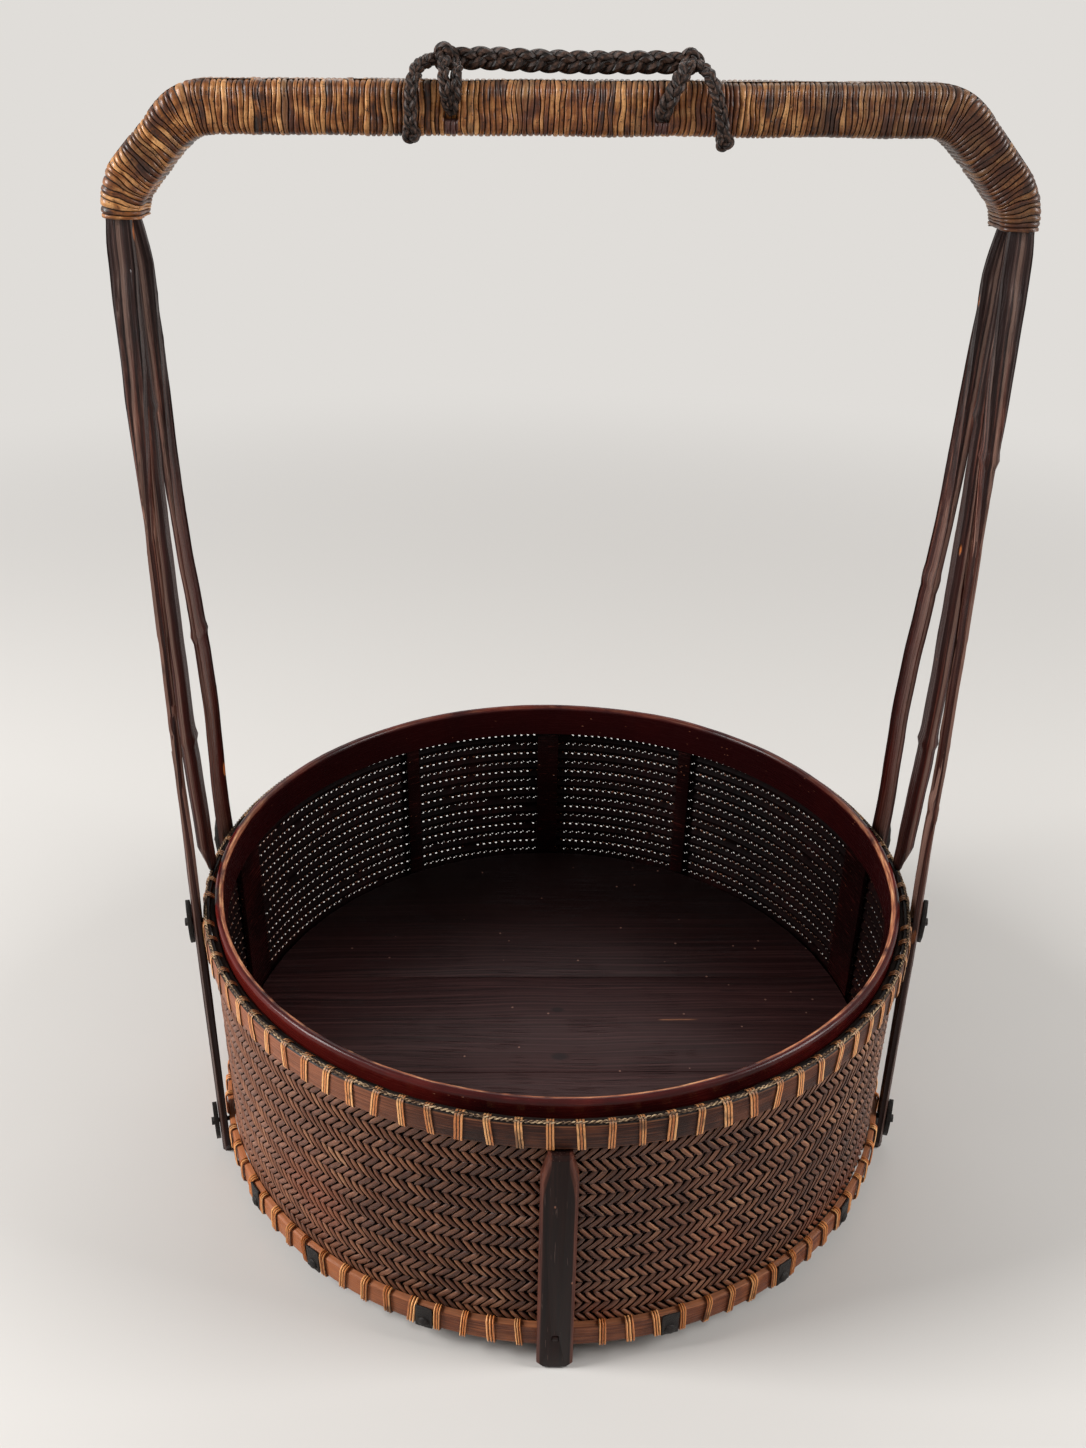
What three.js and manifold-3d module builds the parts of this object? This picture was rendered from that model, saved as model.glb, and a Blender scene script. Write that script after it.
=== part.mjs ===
// Round bamboo basket with a tall wrapped handle and a rope grip.
// Millimetres, +Z up, the front foot towards -Y, the handle in the XZ plane.
// The origin is on the ground under the centre of the basket.
import * as THREE from "three";
import { mergeVertices } from "three/addons/utils/BufferGeometryUtils.js";
import Module from "manifold-3d";

const wasm = await Module();
wasm.setup();

// Clearances
const GAP = 0.3; // between pieces that touch
const WRAP_BORE_GAP = 1.2; // between the handle pole and the cane wound on it
const PIN_GAP = 0.3; // round a nail or peg in its hole
const CUT_PAST = 2; // how far a cutting pin runs past the face that it cuts
const FOOT_CLEAR_DEG = 0.3; // between a foot's edge and the nearest tie

// Basket body, measured from the centre line outwards
const WALL_INNER_R = 183.4;
const WALL_THICK = 3.2;
const WALL_BOTTOM_Z = 12;
const ROW_PITCH = 7.15; // one row of twining
const FIRST_GROOVE_Z = 29.15; // where two rows meet, just over the bottom hoop
const ROWS_PER_RIB = 2; // one rib of the solid stands for a rising and a falling row
const GROOVE_DEPTH = 1.2;
const GROOVE_WIDTH = 2.6;
const RIM_Z = 155; // top of the outer hoop
const RING_SEGMENTS = 60;

// Hoops
const HOOP_THICK = 3.1;
const TOP_HOOP_HEIGHT = 14.8;
const BOTTOM_HOOP_Z = 12;
const BOTTOM_HOOP_HEIGHT = 12.8;
const COLLAR_THICK = 4.1;
const COLLAR_RISE = 5; // how far the collar stands above the outer hoop
const COLLAR_LIP = 0.7; // how far its lip swells outwards
const FILLER_HEIGHT = 4;
const HOOP_ROUND = 0.8;
const FILLER_PROUD = 0.5; // above the outer hoop

// Floor
const FLOOR_TOP_Z = 43;
const PLANK_THICK = 7;
const MIDDLE_PLANK_FRONT_Y = -40.5;
const MIDDLE_PLANK_BACK_Y = 42.5;
const PLANK_ARC_STEPS = 10; // for each round end of a plank

// Lashings: ties of split cane at an even pitch, joined by a strand that runs round the rim
const TIE_PITCH_DEG = 4;
const TOP_TIE_TURN_DEG = 2.6; // the first tie at the rim, from the foot
const BOTTOM_TIE_TURN_DEG = -1.2;
const TIE_WIDTH = 4.2;
const TIE_THICK = 0.7;
const TIE_TUCK = 2.6;
const STRAND_WIDTH = 2.4;
const STRAND_HEIGHT = 1.8;

// Front and back feet
const FOOT_TURN_DEG = -1.2; // the two feet stand a little round from square
const FOOT_THICK = 7.1;
const FOOT_WIDTH = 17.3;
const FOOT_NECK_WIDTH = 11;
const FOOT_SHOULDER_Z = 112;
const FOOT_NECK_Z = 136;
const FOOT_SHOULDER_BULGE = 1.4;
const FOOT_BEVEL = 1.6;
const FOOT_CORNER = 1.6;
const PEG_SIDE = 2.6;
const PEG_Z = 21.8;
const PEG_PROUD = 0.4;

// Braces: four split-bamboo strips from the handle down past both hoops
const BRACE_RIM_DEG = 11.5; // from the handle's plane at the rim
const BRACE_FOOT_DEG = 15.2; // and at the bottom hoop
const BRACE_WIDTH = 15;
const BRACE_THICK = 4.4;
const BRACE_TIP_WIDTH = 5.7;
const BRACE_TIP_THICK = 8.7;
const BACK_BRACE_BELLY = 2; // extra thickness of the back braces just under the wrap
const BRACE_NARROW_LENGTH = 20; // below the wrap, before the strip widens
const BRACE_TAPER_LENGTH = 120;
const BRACE_HOLLOW = 1.1;
const BRACE_EDGE = 1.5;
const BRACE_END_ROUND = 6;

// Handle pole, bent in one piece from rim to rim
const HANDLE_HALF_SPAN = 191.4; // to the pole's centre where the wrap ends
const HANDLE_Z = 534; // the pole's centre in the grip
const POLE_POST_OUT = 1.2; // from the outer hoop's face out to the post's centre, just above its foot
const CORNER_CUT = 32.3; // the bend runs at 45 degrees across each corner
const RIGHT_CORNER_CUT = 35;
const CORNER_ROUND = 24;
const HANDLE_TILT = 1.5; // the grip is this much lower at its left end and higher at its right end
const POLE_GRIP_THICK = 14.5;
const POLE_BEND_THICK = 9.2;
const POLE_BUNDLE_THICK = 12; // where the brace tips lie beside it
const POLE_DEPTH = 19.6;
const POLE_POST_THICK = 7.2;
const POLE_POST_DEPTH = 13;
const POLE_NECK_DEPTH = 6.4; // between the two brace tips
const POLE_FOOT_THICK = 3;
const POLE_FOOT_DEPTH = 9;
const POLE_FOOT_TAPER = 16;
const POLE_CORNER = 2.2;
const CORNER_SHARE = 0.6; // the most that a corner takes of a thin section's half

// Cane wrap
const WRAP_END_Z = 489.5;
const WINDOW_LAPS = 4; // from one window in the wrap to the other; a lap is about ten strands of cane
const WRAP_THICK = 1.3;
const WRAP_CROWN = 0.3;
const WRAP_LAP_GAP = 0.9;
const WRAP_START_WIDTH = 2; // the ribbon's ends are cut slantwise, so that the wrap ends square
const BRACE_TIP_TUCK = 12; // how far the brace tips and the pole's neck run up inside the wrap
const TIP_STEPS = 3;
const BEND_STEPS = 14;
const GRIP_STEPS = 6;
const WINDOW_WIDTH = 5.6;
const WINDOW_HEIGHT = 6.5;
const LEFT_WINDOW_X = -51.4;
const RIGHT_WINDOW_X = 34.4;

// Rope grip
const BRAID_R = 4.3;
const BRAID_LEFT_X = -51.5;
const BRAID_RIGHT_X = 43.5;
const BRAID_LIFT = 2.8; // the braid's height over the wrap
const STRAND_R = 1.6;
const HITCH_LEFT_X = -69.5;
const KNOT_R = 3.6;
const STRAND_SIDES = 8;
const TURN_CORNER = 4;
const TAIL_X = 59.5;

// Iron cleats on the braces, and iron straps on the bottom hoop
const CLEAT_HEIGHT = 28;
const CLEAT_WIDTH = 9;
const CLEAT_THICK = 2.4;
const CLEAT_SHOULDER = [0.7, 0.6]; // as shares of half the leaf's width and height
const NAIL_R = 1.3;
const NAIL_HEAD_R = 2.2;
const NAIL_HEAD_THICK = 1.5;
const STRAP_WIDTH = 7;
const STRAP_THICK = 1;
const STRAP_DROP = 5;
const STRAP_GAPS = [4, 9, 13]; // which spaces between ties hold a strap, counted from each foot

// Stiles inside the wall
const STILE_THICK = 2.6;
const FLOOR_BEARING = 6; // how far the inner bottom hoop reaches under the floor
const STILE_WIDE = 26;
const STILE_MIDDLE = 14;
const STILE_NARROW = 9;
const STILE_NARROW_DEG = 30;
const STILE_ARC_STEPS = 4; // across a stile's width

// Values that follow from the sizes above
const WALL_OUTER_R = WALL_INNER_R + WALL_THICK;
const HOOP_INNER_R = WALL_OUTER_R + GAP;
const HOOP_OUTER_R = HOOP_INNER_R + HOOP_THICK;
const POLE_BASE_HALF_SPAN = (HOOP_INNER_R + HOOP_OUTER_R) / 2;
const POLE_POST_HALF_SPAN = HOOP_OUTER_R + POLE_POST_OUT;
const TIE_INNER_R = HOOP_OUTER_R + GAP;
const TIE_OUTER_R = TIE_INNER_R + TIE_THICK;
const TOP_HOOP_Z = RIM_Z - TOP_HOOP_HEIGHT;
const BOTTOM_HOOP_TOP_Z = BOTTOM_HOOP_Z + BOTTOM_HOOP_HEIGHT;
const TOP_HOOP_MID_Z = (TOP_HOOP_Z + RIM_Z) / 2;
const BOTTOM_HOOP_MID_Z = (BOTTOM_HOOP_Z + BOTTOM_HOOP_TOP_Z) / 2;
const COLLAR_OUTER_R = WALL_INNER_R - GAP;
const COLLAR_INNER_R = COLLAR_OUTER_R - COLLAR_THICK;
const COLLAR_TOP_Z = RIM_Z + COLLAR_RISE;
const FLOOR_BOTTOM_Z = FLOOR_TOP_Z - PLANK_THICK;
const STILE_INNER_R = WALL_INNER_R - GAP - STILE_THICK;
const PLANK_R = STILE_INNER_R - GAP;
const FLOOR_HOOP_INNER_R = STILE_INNER_R - FLOOR_BEARING;
const WALL_TOP_Z = RIM_Z + FILLER_PROUD - FILLER_HEIGHT - GAP;
const BRACE_INNER_R = TIE_OUTER_R + GAP;
const BRACE_OUTER_R = BRACE_INNER_R + BRACE_THICK;
const POLE_TIP_THICK = BRACE_TIP_THICK + GAP;
const WRAP_OUTER_HALF_DEPTH = POLE_DEPTH / 2 + WRAP_BORE_GAP + WRAP_THICK;
const GRIP_HALF_THICK = POLE_GRIP_THICK / 2 + WRAP_BORE_GAP + WRAP_THICK + WRAP_CROWN;
const BRAID_Z = HANDLE_Z + GRIP_HALF_THICK + BRAID_LIFT + BRAID_R;

const rad = THREE.MathUtils.degToRad;
const lerp = THREE.MathUtils.lerp;

// A point at an azimuth counted from the front, towards +X
const polar = (r, deg, z) =>
  new THREE.Vector3(r * Math.sin(rad(deg)), -r * Math.cos(rad(deg)), z);

// Materials
const finish = (color, roughness, metalness = 0) =>
  new THREE.MeshStandardMaterial({ color, roughness, metalness });
const LACQUER = () => finish(0x4a1512, 0.3);
const BAMBOO = () => finish(0x6e4730, 0.5);
const DARK_BAMBOO = () => finish(0x3f2a24, 0.45);
const WEAVE = () => finish(0x7a5238, 0.6);
const CANE = () => finish(0xc08a4c, 0.4);
const PLANK = () => finish(0x35201f, 0.5);
const IRON = () => finish(0x17140f, 0.6, 0.7);
const ROPE = () => finish(0x33261f, 0.8);

const basket = new THREE.Group();
function add(name, geometry, material, parent = basket) {
  const mesh = new THREE.Mesh(geometry, material);
  mesh.name = name;
  parent.add(mesh);
  return mesh;
}

// Closed geometry from lists of corner points and faces, wound outwards whichever way it was listed
function closed(points, faces) {
  let volume = 0;
  for (const [a, b, c] of faces) {
    volume += points[a].dot(points[b].clone().cross(points[c]));
  }
  const wound = volume < 0 ? faces.map(([a, b, c]) => [a, c, b]) : faces;
  const geometry = new THREE.BufferGeometry();
  geometry.setAttribute(
    "position",
    new THREE.Float32BufferAttribute(points.flatMap((p) => [p.x, p.y, p.z]), 3),
  );
  geometry.setIndex(wound.flat());
  return geometry;
}

// A skin through equal rings of points. Open runs get flat ends, loops join the last ring to the first.
function skin(rings, loop = false) {
  const n = rings[0].length;
  const points = rings.flat();
  const faces = [];
  const runs = loop ? rings.length : rings.length - 1;
  for (let i = 0; i < runs; i += 1) {
    const a = i * n;
    const b = ((i + 1) % rings.length) * n;
    for (let k = 0; k < n; k += 1) {
      const next = (k + 1) % n;
      faces.push([a + k, a + next, b + next], [a + k, b + next, b + k]);
    }
  }
  if (!loop) {
    const last = (rings.length - 1) * n;
    for (let k = 1; k < n - 1; k += 1) {
      faces.push([0, k + 1, k], [last, last + k, last + k + 1]);
    }
  }
  return closed(points, faces);
}

// Manifold solids, for cuts and joins
function solid(geometry) {
  const bare = geometry.clone();
  bare.deleteAttribute("normal");
  bare.deleteAttribute("uv");
  const merged = mergeVertices(bare, 1e-3);
  return new wasm.Manifold(
    new wasm.Mesh({
      numProp: 3,
      vertProperties: new Float32Array(merged.attributes.position.array),
      triVerts: new Uint32Array(merged.index.array),
    }),
  );
}
function geometryOf(made) {
  const mesh = made.getMesh();
  const geometry = new THREE.BufferGeometry();
  geometry.setAttribute("position", new THREE.Float32BufferAttribute(mesh.vertProperties, 3));
  geometry.setIndex(Array.from(mesh.triVerts));
  return geometry;
}
function cut(geometry, ...tools) {
  return geometryOf(tools.reduce((made, tool) => made.subtract(solid(tool)), solid(geometry)));
}
function join(...pieces) {
  return geometryOf(pieces.map(solid).reduce((made, piece) => made.add(piece)));
}

// A ring turned from a closed profile of [radius, z] corners
function turned(profile, segments = RING_SEGMENTS) {
  const rings = [];
  for (let i = 0; i < segments; i += 1) {
    rings.push(profile.map(([r, z]) => polar(r, (360 * i) / segments, z)));
  }
  return skin(rings, true);
}

// A round bar from an inner to an outer radius, square to the wall, at one azimuth and height
function radialPin(radius, fromR, toR, deg, z, sides = 8) {
  const geometry = new THREE.CylinderGeometry(radius, radius, toR - fromR, sides);
  geometry.translate(0, -(fromR + toR) / 2, 0);
  geometry.rotateZ(rad(deg));
  geometry.translate(0, 0, z);
  return geometry;
}

// A round tube through points, with flat ends
function tube(points, radius, sides, steps) {
  const curve = new THREE.CatmullRomCurve3(points, false, "centripetal");
  const section = new THREE.Shape();
  section.absarc(0, 0, radius, 0, 2 * Math.PI);
  return new THREE.ExtrudeGeometry(section, {
    steps,
    curveSegments: sides / 2,
    extrudePath: curve,
    bevelEnabled: false,
  });
}

// Floor of three planks, cut to the round
function plank(fromY, toY) {
  const r = PLANK_R;
  const shape = new THREE.Shape();
  const angle = (y) => Math.asin(THREE.MathUtils.clamp(y / r, -1, 1));
  const steps = PLANK_ARC_STEPS;
  for (let i = 0; i <= steps; i += 1) {
    const a = lerp(angle(fromY), angle(toY), i / steps);
    shape[i ? "lineTo" : "moveTo"](r * Math.cos(a), r * Math.sin(a));
  }
  for (let i = 0; i <= steps; i += 1) {
    const a = lerp(angle(toY), angle(fromY), i / steps);
    shape.lineTo(-r * Math.cos(a), r * Math.sin(a));
  }
  const geometry = new THREE.ExtrudeGeometry(shape, { depth: PLANK_THICK, bevelEnabled: false });
  geometry.translate(0, 0, FLOOR_BOTTOM_Z);
  return geometry;
}
add("floor_plank_front", plank(-PLANK_R, MIDDLE_PLANK_FRONT_Y - GAP / 2), PLANK());
add("floor_plank_middle", plank(MIDDLE_PLANK_FRONT_Y + GAP / 2, MIDDLE_PLANK_BACK_Y - GAP / 2), PLANK());
add("floor_plank_back", plank(MIDDLE_PLANK_BACK_Y + GAP / 2, PLANK_R), PLANK());

// Where the braces stand, in degrees from the front
const SIDES = { right: 90, left: -90 };
const braceDeg = (side, end, spread) => {
  const towardsFront = end === "front" ? -1 : 1;
  return SIDES[side] + Math.sign(SIDES[side]) * towardsFront * spread;
};
const BRACES = ["left", "right"].flatMap((side) => ["front", "back"].map((end) => ({ side, end })));
const rimNailDegs = BRACES.map(({ side, end }) => braceDeg(side, end, BRACE_RIM_DEG));
const footNailDegs = BRACES.map(({ side, end }) => braceDeg(side, end, BRACE_FOOT_DEG));
const FEET = { front_foot: FOOT_TURN_DEG, back_foot: FOOT_TURN_DEG + 180 };

// Wall and hoops. The wall's face is ribbed: a groove runs round it between every two rows.
const ribs = [];
for (let z = FIRST_GROOVE_Z; z < TOP_HOOP_Z - GROOVE_WIDTH; z += ROWS_PER_RIB * ROW_PITCH) {
  ribs.push(
    [WALL_OUTER_R, z - GROOVE_WIDTH / 2],
    [WALL_OUTER_R - GROOVE_DEPTH, z],
    [WALL_OUTER_R, z + GROOVE_WIDTH / 2],
  );
}
add(
  "woven_wall",
  turned([
    [WALL_INNER_R, WALL_BOTTOM_Z],
    [WALL_OUTER_R, WALL_BOTTOM_Z],
    ...ribs,
    [WALL_OUTER_R, WALL_TOP_Z],
    [WALL_INNER_R, WALL_TOP_Z],
  ]),
  WEAVE(),
);
const hoopProfile = (bottom, top) => [
  [HOOP_INNER_R, bottom],
  [HOOP_OUTER_R - HOOP_ROUND, bottom],
  [HOOP_OUTER_R, bottom + HOOP_ROUND],
  [HOOP_OUTER_R, top - HOOP_ROUND],
  [HOOP_OUTER_R - HOOP_ROUND, top],
  [HOOP_INNER_R, top],
];
const nailHole = (deg, z) => radialPin(NAIL_R + PIN_GAP, WALL_OUTER_R, BRACE_OUTER_R + CUT_PAST, deg, z);
const pegHole = (deg) => {
  const side = PEG_SIDE + 2 * PIN_GAP;
  const hole = new THREE.BoxGeometry(side, 2 * FOOT_THICK, side);
  hole.translate(0, -HOOP_INNER_R - FOOT_THICK / 2, PEG_Z);
  return hole.rotateZ(rad(deg));
};
add(
  "outer_top_hoop",
  cut(
    turned(hoopProfile(TOP_HOOP_Z, RIM_Z)),
    ...rimNailDegs.map((deg) => nailHole(deg, TOP_HOOP_MID_Z)),
  ),
  BAMBOO(),
);
add(
  "outer_bottom_hoop",
  cut(
    turned(hoopProfile(BOTTOM_HOOP_Z, BOTTOM_HOOP_TOP_Z)),
    ...footNailDegs.map((deg) => nailHole(deg, BOTTOM_HOOP_MID_Z)),
    ...Object.values(FEET).map(pegHole),
  ),
  BAMBOO(),
);
add(
  "inner_bottom_hoop",
  turned([
    [FLOOR_HOOP_INNER_R, BOTTOM_HOOP_Z],
    [COLLAR_OUTER_R, BOTTOM_HOOP_Z],
    [COLLAR_OUTER_R, FLOOR_BOTTOM_Z - GAP],
    [FLOOR_HOOP_INNER_R, FLOOR_BOTTOM_Z - GAP],
  ]),
  DARK_BAMBOO(),
);
add(
  "lacquered_collar",
  turned([
    [COLLAR_INNER_R, TOP_HOOP_Z],
    [COLLAR_OUTER_R, TOP_HOOP_Z],
    [COLLAR_OUTER_R, RIM_Z],
    [COLLAR_OUTER_R + COLLAR_LIP, RIM_Z + COLLAR_RISE / 2],
    [COLLAR_OUTER_R - COLLAR_THICK / 4, COLLAR_TOP_Z],
    [COLLAR_INNER_R + COLLAR_THICK / 4, COLLAR_TOP_Z],
    [COLLAR_INNER_R, RIM_Z + COLLAR_RISE / 2],
  ]),
  LACQUER(),
);
add(
  "rim_filler",
  turned([
    [WALL_INNER_R, WALL_TOP_Z + GAP],
    [WALL_OUTER_R, WALL_TOP_Z + GAP],
    [WALL_OUTER_R, WALL_TOP_Z + GAP + FILLER_HEIGHT - HOOP_ROUND],
    [(WALL_INNER_R + WALL_OUTER_R) / 2, WALL_TOP_Z + GAP + FILLER_HEIGHT],
    [WALL_INNER_R, WALL_TOP_Z + GAP + FILLER_HEIGHT - HOOP_ROUND],
  ]),
  DARK_BAMBOO(),
);

// A lashing: a strand that runs round over the wall's edge, with a tie at each even step that isn't
// left free. A tie goes across the hoop's edge, along its face and under its far edge. hoopEdge and
// farEdge are heights, and up is 1 at the rim and -1 at the bottom, where it is upside down.
function lashing(hoopEdge, farEdge, up, firstDeg, isFree) {
  const tieHalfDeg = THREE.MathUtils.radToDeg(TIE_WIDTH / 2 / TIE_OUTER_R);
  const inner = COLLAR_OUTER_R + COLLAR_LIP + GAP;
  const outer = inner + STRAND_WIDTH;
  const low = hoopEdge + up * (FILLER_PROUD + GAP);
  const high = low + up * STRAND_HEIGHT;
  const points = [];
  const faces = [];
  const cells = [];
  const free = [];
  for (let deg = firstDeg; deg < firstDeg + 360 - TIE_PITCH_DEG / 2; deg += TIE_PITCH_DEG) {
    cells.push(deg - tieHalfDeg, deg + tieHalfDeg);
    free.push(isFree(deg), true);
  }
  const ring = (deg) => [
    polar(outer, deg, low),
    polar(outer, deg, high),
    polar(inner, deg, (low + high) / 2),
  ];
  cells.forEach((deg) => points.push(...ring(deg)));
  const quad = (a, b, c, d) => faces.push([a, b, c], [a, c, d]);
  cells.forEach((_, i) => {
    const a = 3 * i;
    const b = 3 * ((i + 1) % cells.length);
    quad(a + 1, a + 2, b + 2, b + 1);
    quad(a + 2, a, b, b + 2);
    if (free[i]) {
      quad(a, a + 1, b + 1, b);
      return;
    }
    // The tie's sections, each with its hoop side first, then its outer side
    const over = hoopEdge + up * GAP;
    const far = farEdge - up * GAP;
    const sections = [
      [[TIE_INNER_R, over], [TIE_OUTER_R, over + up * TIE_THICK]],
      [[TIE_INNER_R, far], [TIE_OUTER_R, far - up * TIE_THICK]],
      [[TIE_INNER_R - TIE_TUCK, far], [TIE_INNER_R - TIE_TUCK, far - up * TIE_THICK]],
    ];
    let from = [a, a + 1, b + 1, b];
    sections.forEach(([hoopSide, outerSide]) => {
      const base = points.length;
      const [d0, d1] = [cells[i], cells[i + 1]];
      points.push(polar(hoopSide[0], d0, hoopSide[1]), polar(outerSide[0], d0, outerSide[1]));
      points.push(polar(outerSide[0], d1, outerSide[1]), polar(hoopSide[0], d1, hoopSide[1]));
      const to = [base, base + 1, base + 2, base + 3];
      from.forEach((_, k) => quad(from[k], from[(k + 1) % 4], to[(k + 1) % 4], to[k]));
      from = to;
    });
    quad(from[0], from[1], from[2], from[3]);
  });
  return closed(points, faces);
}
const angleBetween = (a, b) => Math.abs(THREE.MathUtils.euclideanModulo(a - b + 180, 360) - 180);
const near = (degs, clearDeg) => (deg) => degs.some((other) => angleBetween(deg, other) < clearDeg);
const nailClearDeg = THREE.MathUtils.radToDeg((NAIL_R + TIE_WIDTH / 2 + 2 * GAP) / HOOP_OUTER_R);
const footClearDeg = THREE.MathUtils.radToDeg((FOOT_WIDTH + TIE_WIDTH) / 2 / HOOP_OUTER_R) + FOOT_CLEAR_DEG;
const nearRimNail = near(rimNailDegs, nailClearDeg);
const nearFootNail = near(footNailDegs, nailClearDeg);
const nearFoot = near(Object.values(FEET), footClearDeg);
const postClearDeg = THREE.MathUtils.radToDeg((POLE_FOOT_DEPTH + TIE_WIDTH + 2 * GAP) / 2 / TIE_INNER_R);
const nearPost = near(Object.values(SIDES), postClearDeg);
const firstTopTie = FOOT_TURN_DEG + TOP_TIE_TURN_DEG;
const firstBottomTie = FOOT_TURN_DEG + BOTTOM_TIE_TURN_DEG;
add(
  "top_lashing",
  lashing(RIM_Z, TOP_HOOP_Z, 1, firstTopTie, (deg) => nearRimNail(deg) || nearPost(deg)),
  CANE(),
);
add(
  "bottom_lashing",
  lashing(BOTTOM_HOOP_Z, BOTTOM_HOOP_TOP_Z, -1, firstBottomTie, (deg) => nearFootNail(deg) || nearFoot(deg)),
  CANE(),
);

// Stiles: flat strips inside the wall from the floor up to the collar
function stile(deg, width) {
  const outer = WALL_INNER_R - GAP;
  const half = THREE.MathUtils.radToDeg(width / 2 / outer);
  const rings = [];
  for (let i = 0; i <= STILE_ARC_STEPS; i += 1) {
    const at = deg + lerp(-half, half, i / STILE_ARC_STEPS);
    const face = (r, z) => polar(r, at, z);
    const inner = STILE_INNER_R;
    const bottom = FLOOR_TOP_Z + GAP;
    const top = TOP_HOOP_Z - GAP;
    rings.push([face(inner, bottom), face(outer, bottom), face(outer, top), face(inner, top)]);
  }
  return skin(rings);
}
const stiles = {
  stile_front: [0, STILE_MIDDLE],
  stile_front_right: [STILE_NARROW_DEG, STILE_NARROW],
  stile_right_front: [braceDeg("right", "front", BRACE_RIM_DEG), STILE_WIDE],
  stile_right_back: [braceDeg("right", "back", BRACE_RIM_DEG), STILE_WIDE],
  stile_back_right: [180 - STILE_NARROW_DEG, STILE_NARROW],
  stile_back: [180, STILE_MIDDLE],
  stile_back_left: [180 + STILE_NARROW_DEG, STILE_NARROW],
  stile_left_back: [braceDeg("left", "back", BRACE_RIM_DEG), STILE_WIDE],
  stile_left_front: [braceDeg("left", "front", BRACE_RIM_DEG), STILE_WIDE],
  stile_front_left: [-STILE_NARROW_DEG, STILE_NARROW],
};
Object.entries(stiles).forEach(([name, [deg, width]]) => add(name, stile(deg, width), LACQUER()));

// Feet: a lacquered stile outside the wall, notched over the bottom hoop, with a necked top
function foot() {
  const half = FOOT_WIDTH / 2 - FOOT_BEVEL;
  const neck = FOOT_NECK_WIDTH / 2 - FOOT_BEVEL;
  const top = TOP_HOOP_Z - 2 * GAP - TIE_THICK;
  const outline = new THREE.Shape();
  outline.moveTo(-half + FOOT_CORNER, FOOT_BEVEL);
  outline.lineTo(half - FOOT_CORNER, FOOT_BEVEL);
  outline.lineTo(half, FOOT_BEVEL + FOOT_CORNER);
  outline.lineTo(half, FOOT_SHOULDER_Z);
  outline.lineTo((half + neck) / 2 + FOOT_SHOULDER_BULGE, (FOOT_SHOULDER_Z + FOOT_NECK_Z) / 2);
  outline.lineTo(neck, FOOT_NECK_Z);
  outline.lineTo(neck, top - FOOT_BEVEL);
  outline.lineTo(-neck, top - FOOT_BEVEL);
  outline.lineTo(-neck, FOOT_NECK_Z);
  outline.lineTo(-(half + neck) / 2 - FOOT_SHOULDER_BULGE, (FOOT_SHOULDER_Z + FOOT_NECK_Z) / 2);
  outline.lineTo(-half, FOOT_SHOULDER_Z);
  outline.lineTo(-half, FOOT_BEVEL + FOOT_CORNER);
  const block = new THREE.ExtrudeGeometry(outline, {
    depth: FOOT_THICK - FOOT_BEVEL,
    bevelEnabled: true,
    bevelSize: FOOT_BEVEL,
    bevelThickness: FOOT_BEVEL,
    bevelSegments: 1,
  });
  // The outline stands up in XZ and its thickness runs outwards to -Y
  block.rotateX(Math.PI / 2);
  block.translate(0, -HOOP_INNER_R, 0);
  const body = turned([
    [COLLAR_INNER_R, -FOOT_BEVEL - 1],
    [HOOP_INNER_R, -FOOT_BEVEL - 1],
    [HOOP_INNER_R, RIM_Z],
    [COLLAR_INNER_R, RIM_Z],
  ]);
  const notch = turned([
    [COLLAR_INNER_R, BOTTOM_HOOP_Z - TIE_THICK - 2 * GAP],
    [TIE_INNER_R, BOTTOM_HOOP_Z - TIE_THICK - 2 * GAP],
    [TIE_INNER_R, BOTTOM_HOOP_TOP_Z + GAP],
    [COLLAR_INNER_R, BOTTOM_HOOP_TOP_Z + GAP],
  ]);
  return cut(block, body, notch, pegHole(0));
}
function peg() {
  const from = HOOP_INNER_R + GAP;
  const to = HOOP_INNER_R + FOOT_THICK + PEG_PROUD;
  const geometry = new THREE.BoxGeometry(PEG_SIDE, to - from, PEG_SIDE);
  return geometry.translate(0, -(from + to) / 2, PEG_Z);
}
Object.entries(FEET).forEach(([name, deg]) => {
  const turn = new THREE.Group();
  turn.rotation.z = rad(deg);
  basket.add(turn);
  add(name, foot(), DARK_BAMBOO(), turn);
  add(`${name}_peg`, peg(), DARK_BAMBOO(), turn);
});

// Route of the handle pole: up the left post, across both 45-degree corners, down the right post
function corner(path, from, knee, to) {
  const back = knee.clone().add(from.clone().sub(knee).setLength(CORNER_TANGENT));
  const ahead = knee.clone().add(to.clone().sub(knee).setLength(CORNER_TANGENT));
  path.add(new THREE.LineCurve3(path.end, back));
  path.add(new THREE.QuadraticBezierCurve3(back, knee, ahead));
  path.end = ahead;
}
const CORNER_TANGENT = CORNER_ROUND * Math.tan(Math.PI / 8);
function handleRoute() {
  const at = (x, z) => new THREE.Vector3(x, 0, z);
  const knees = [
    at(-HANDLE_HALF_SPAN, WRAP_END_Z),
    at(-HANDLE_HALF_SPAN, HANDLE_Z - CORNER_CUT - HANDLE_TILT),
    at(-HANDLE_HALF_SPAN + CORNER_CUT, HANDLE_Z - HANDLE_TILT),
    at(HANDLE_HALF_SPAN - RIGHT_CORNER_CUT, HANDLE_Z + HANDLE_TILT),
    at(HANDLE_HALF_SPAN, HANDLE_Z - RIGHT_CORNER_CUT + HANDLE_TILT),
    at(HANDLE_HALF_SPAN, WRAP_END_Z),
  ];
  const path = new THREE.CurvePath();
  path.end = knees[0];
  for (let i = 1; i < knees.length - 1; i += 1) {
    corner(path, knees[i - 1], knees[i], knees[i + 1]);
  }
  path.add(new THREE.LineCurve3(path.end, knees[knees.length - 1]));
  return path;
}
const route = handleRoute();
const ROUTE_LENGTH = route.getLength();
const BEND_LENGTH = HANDLE_Z - WRAP_END_Z + CORNER_CUT; // from the wrap's end to the level grip

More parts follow.
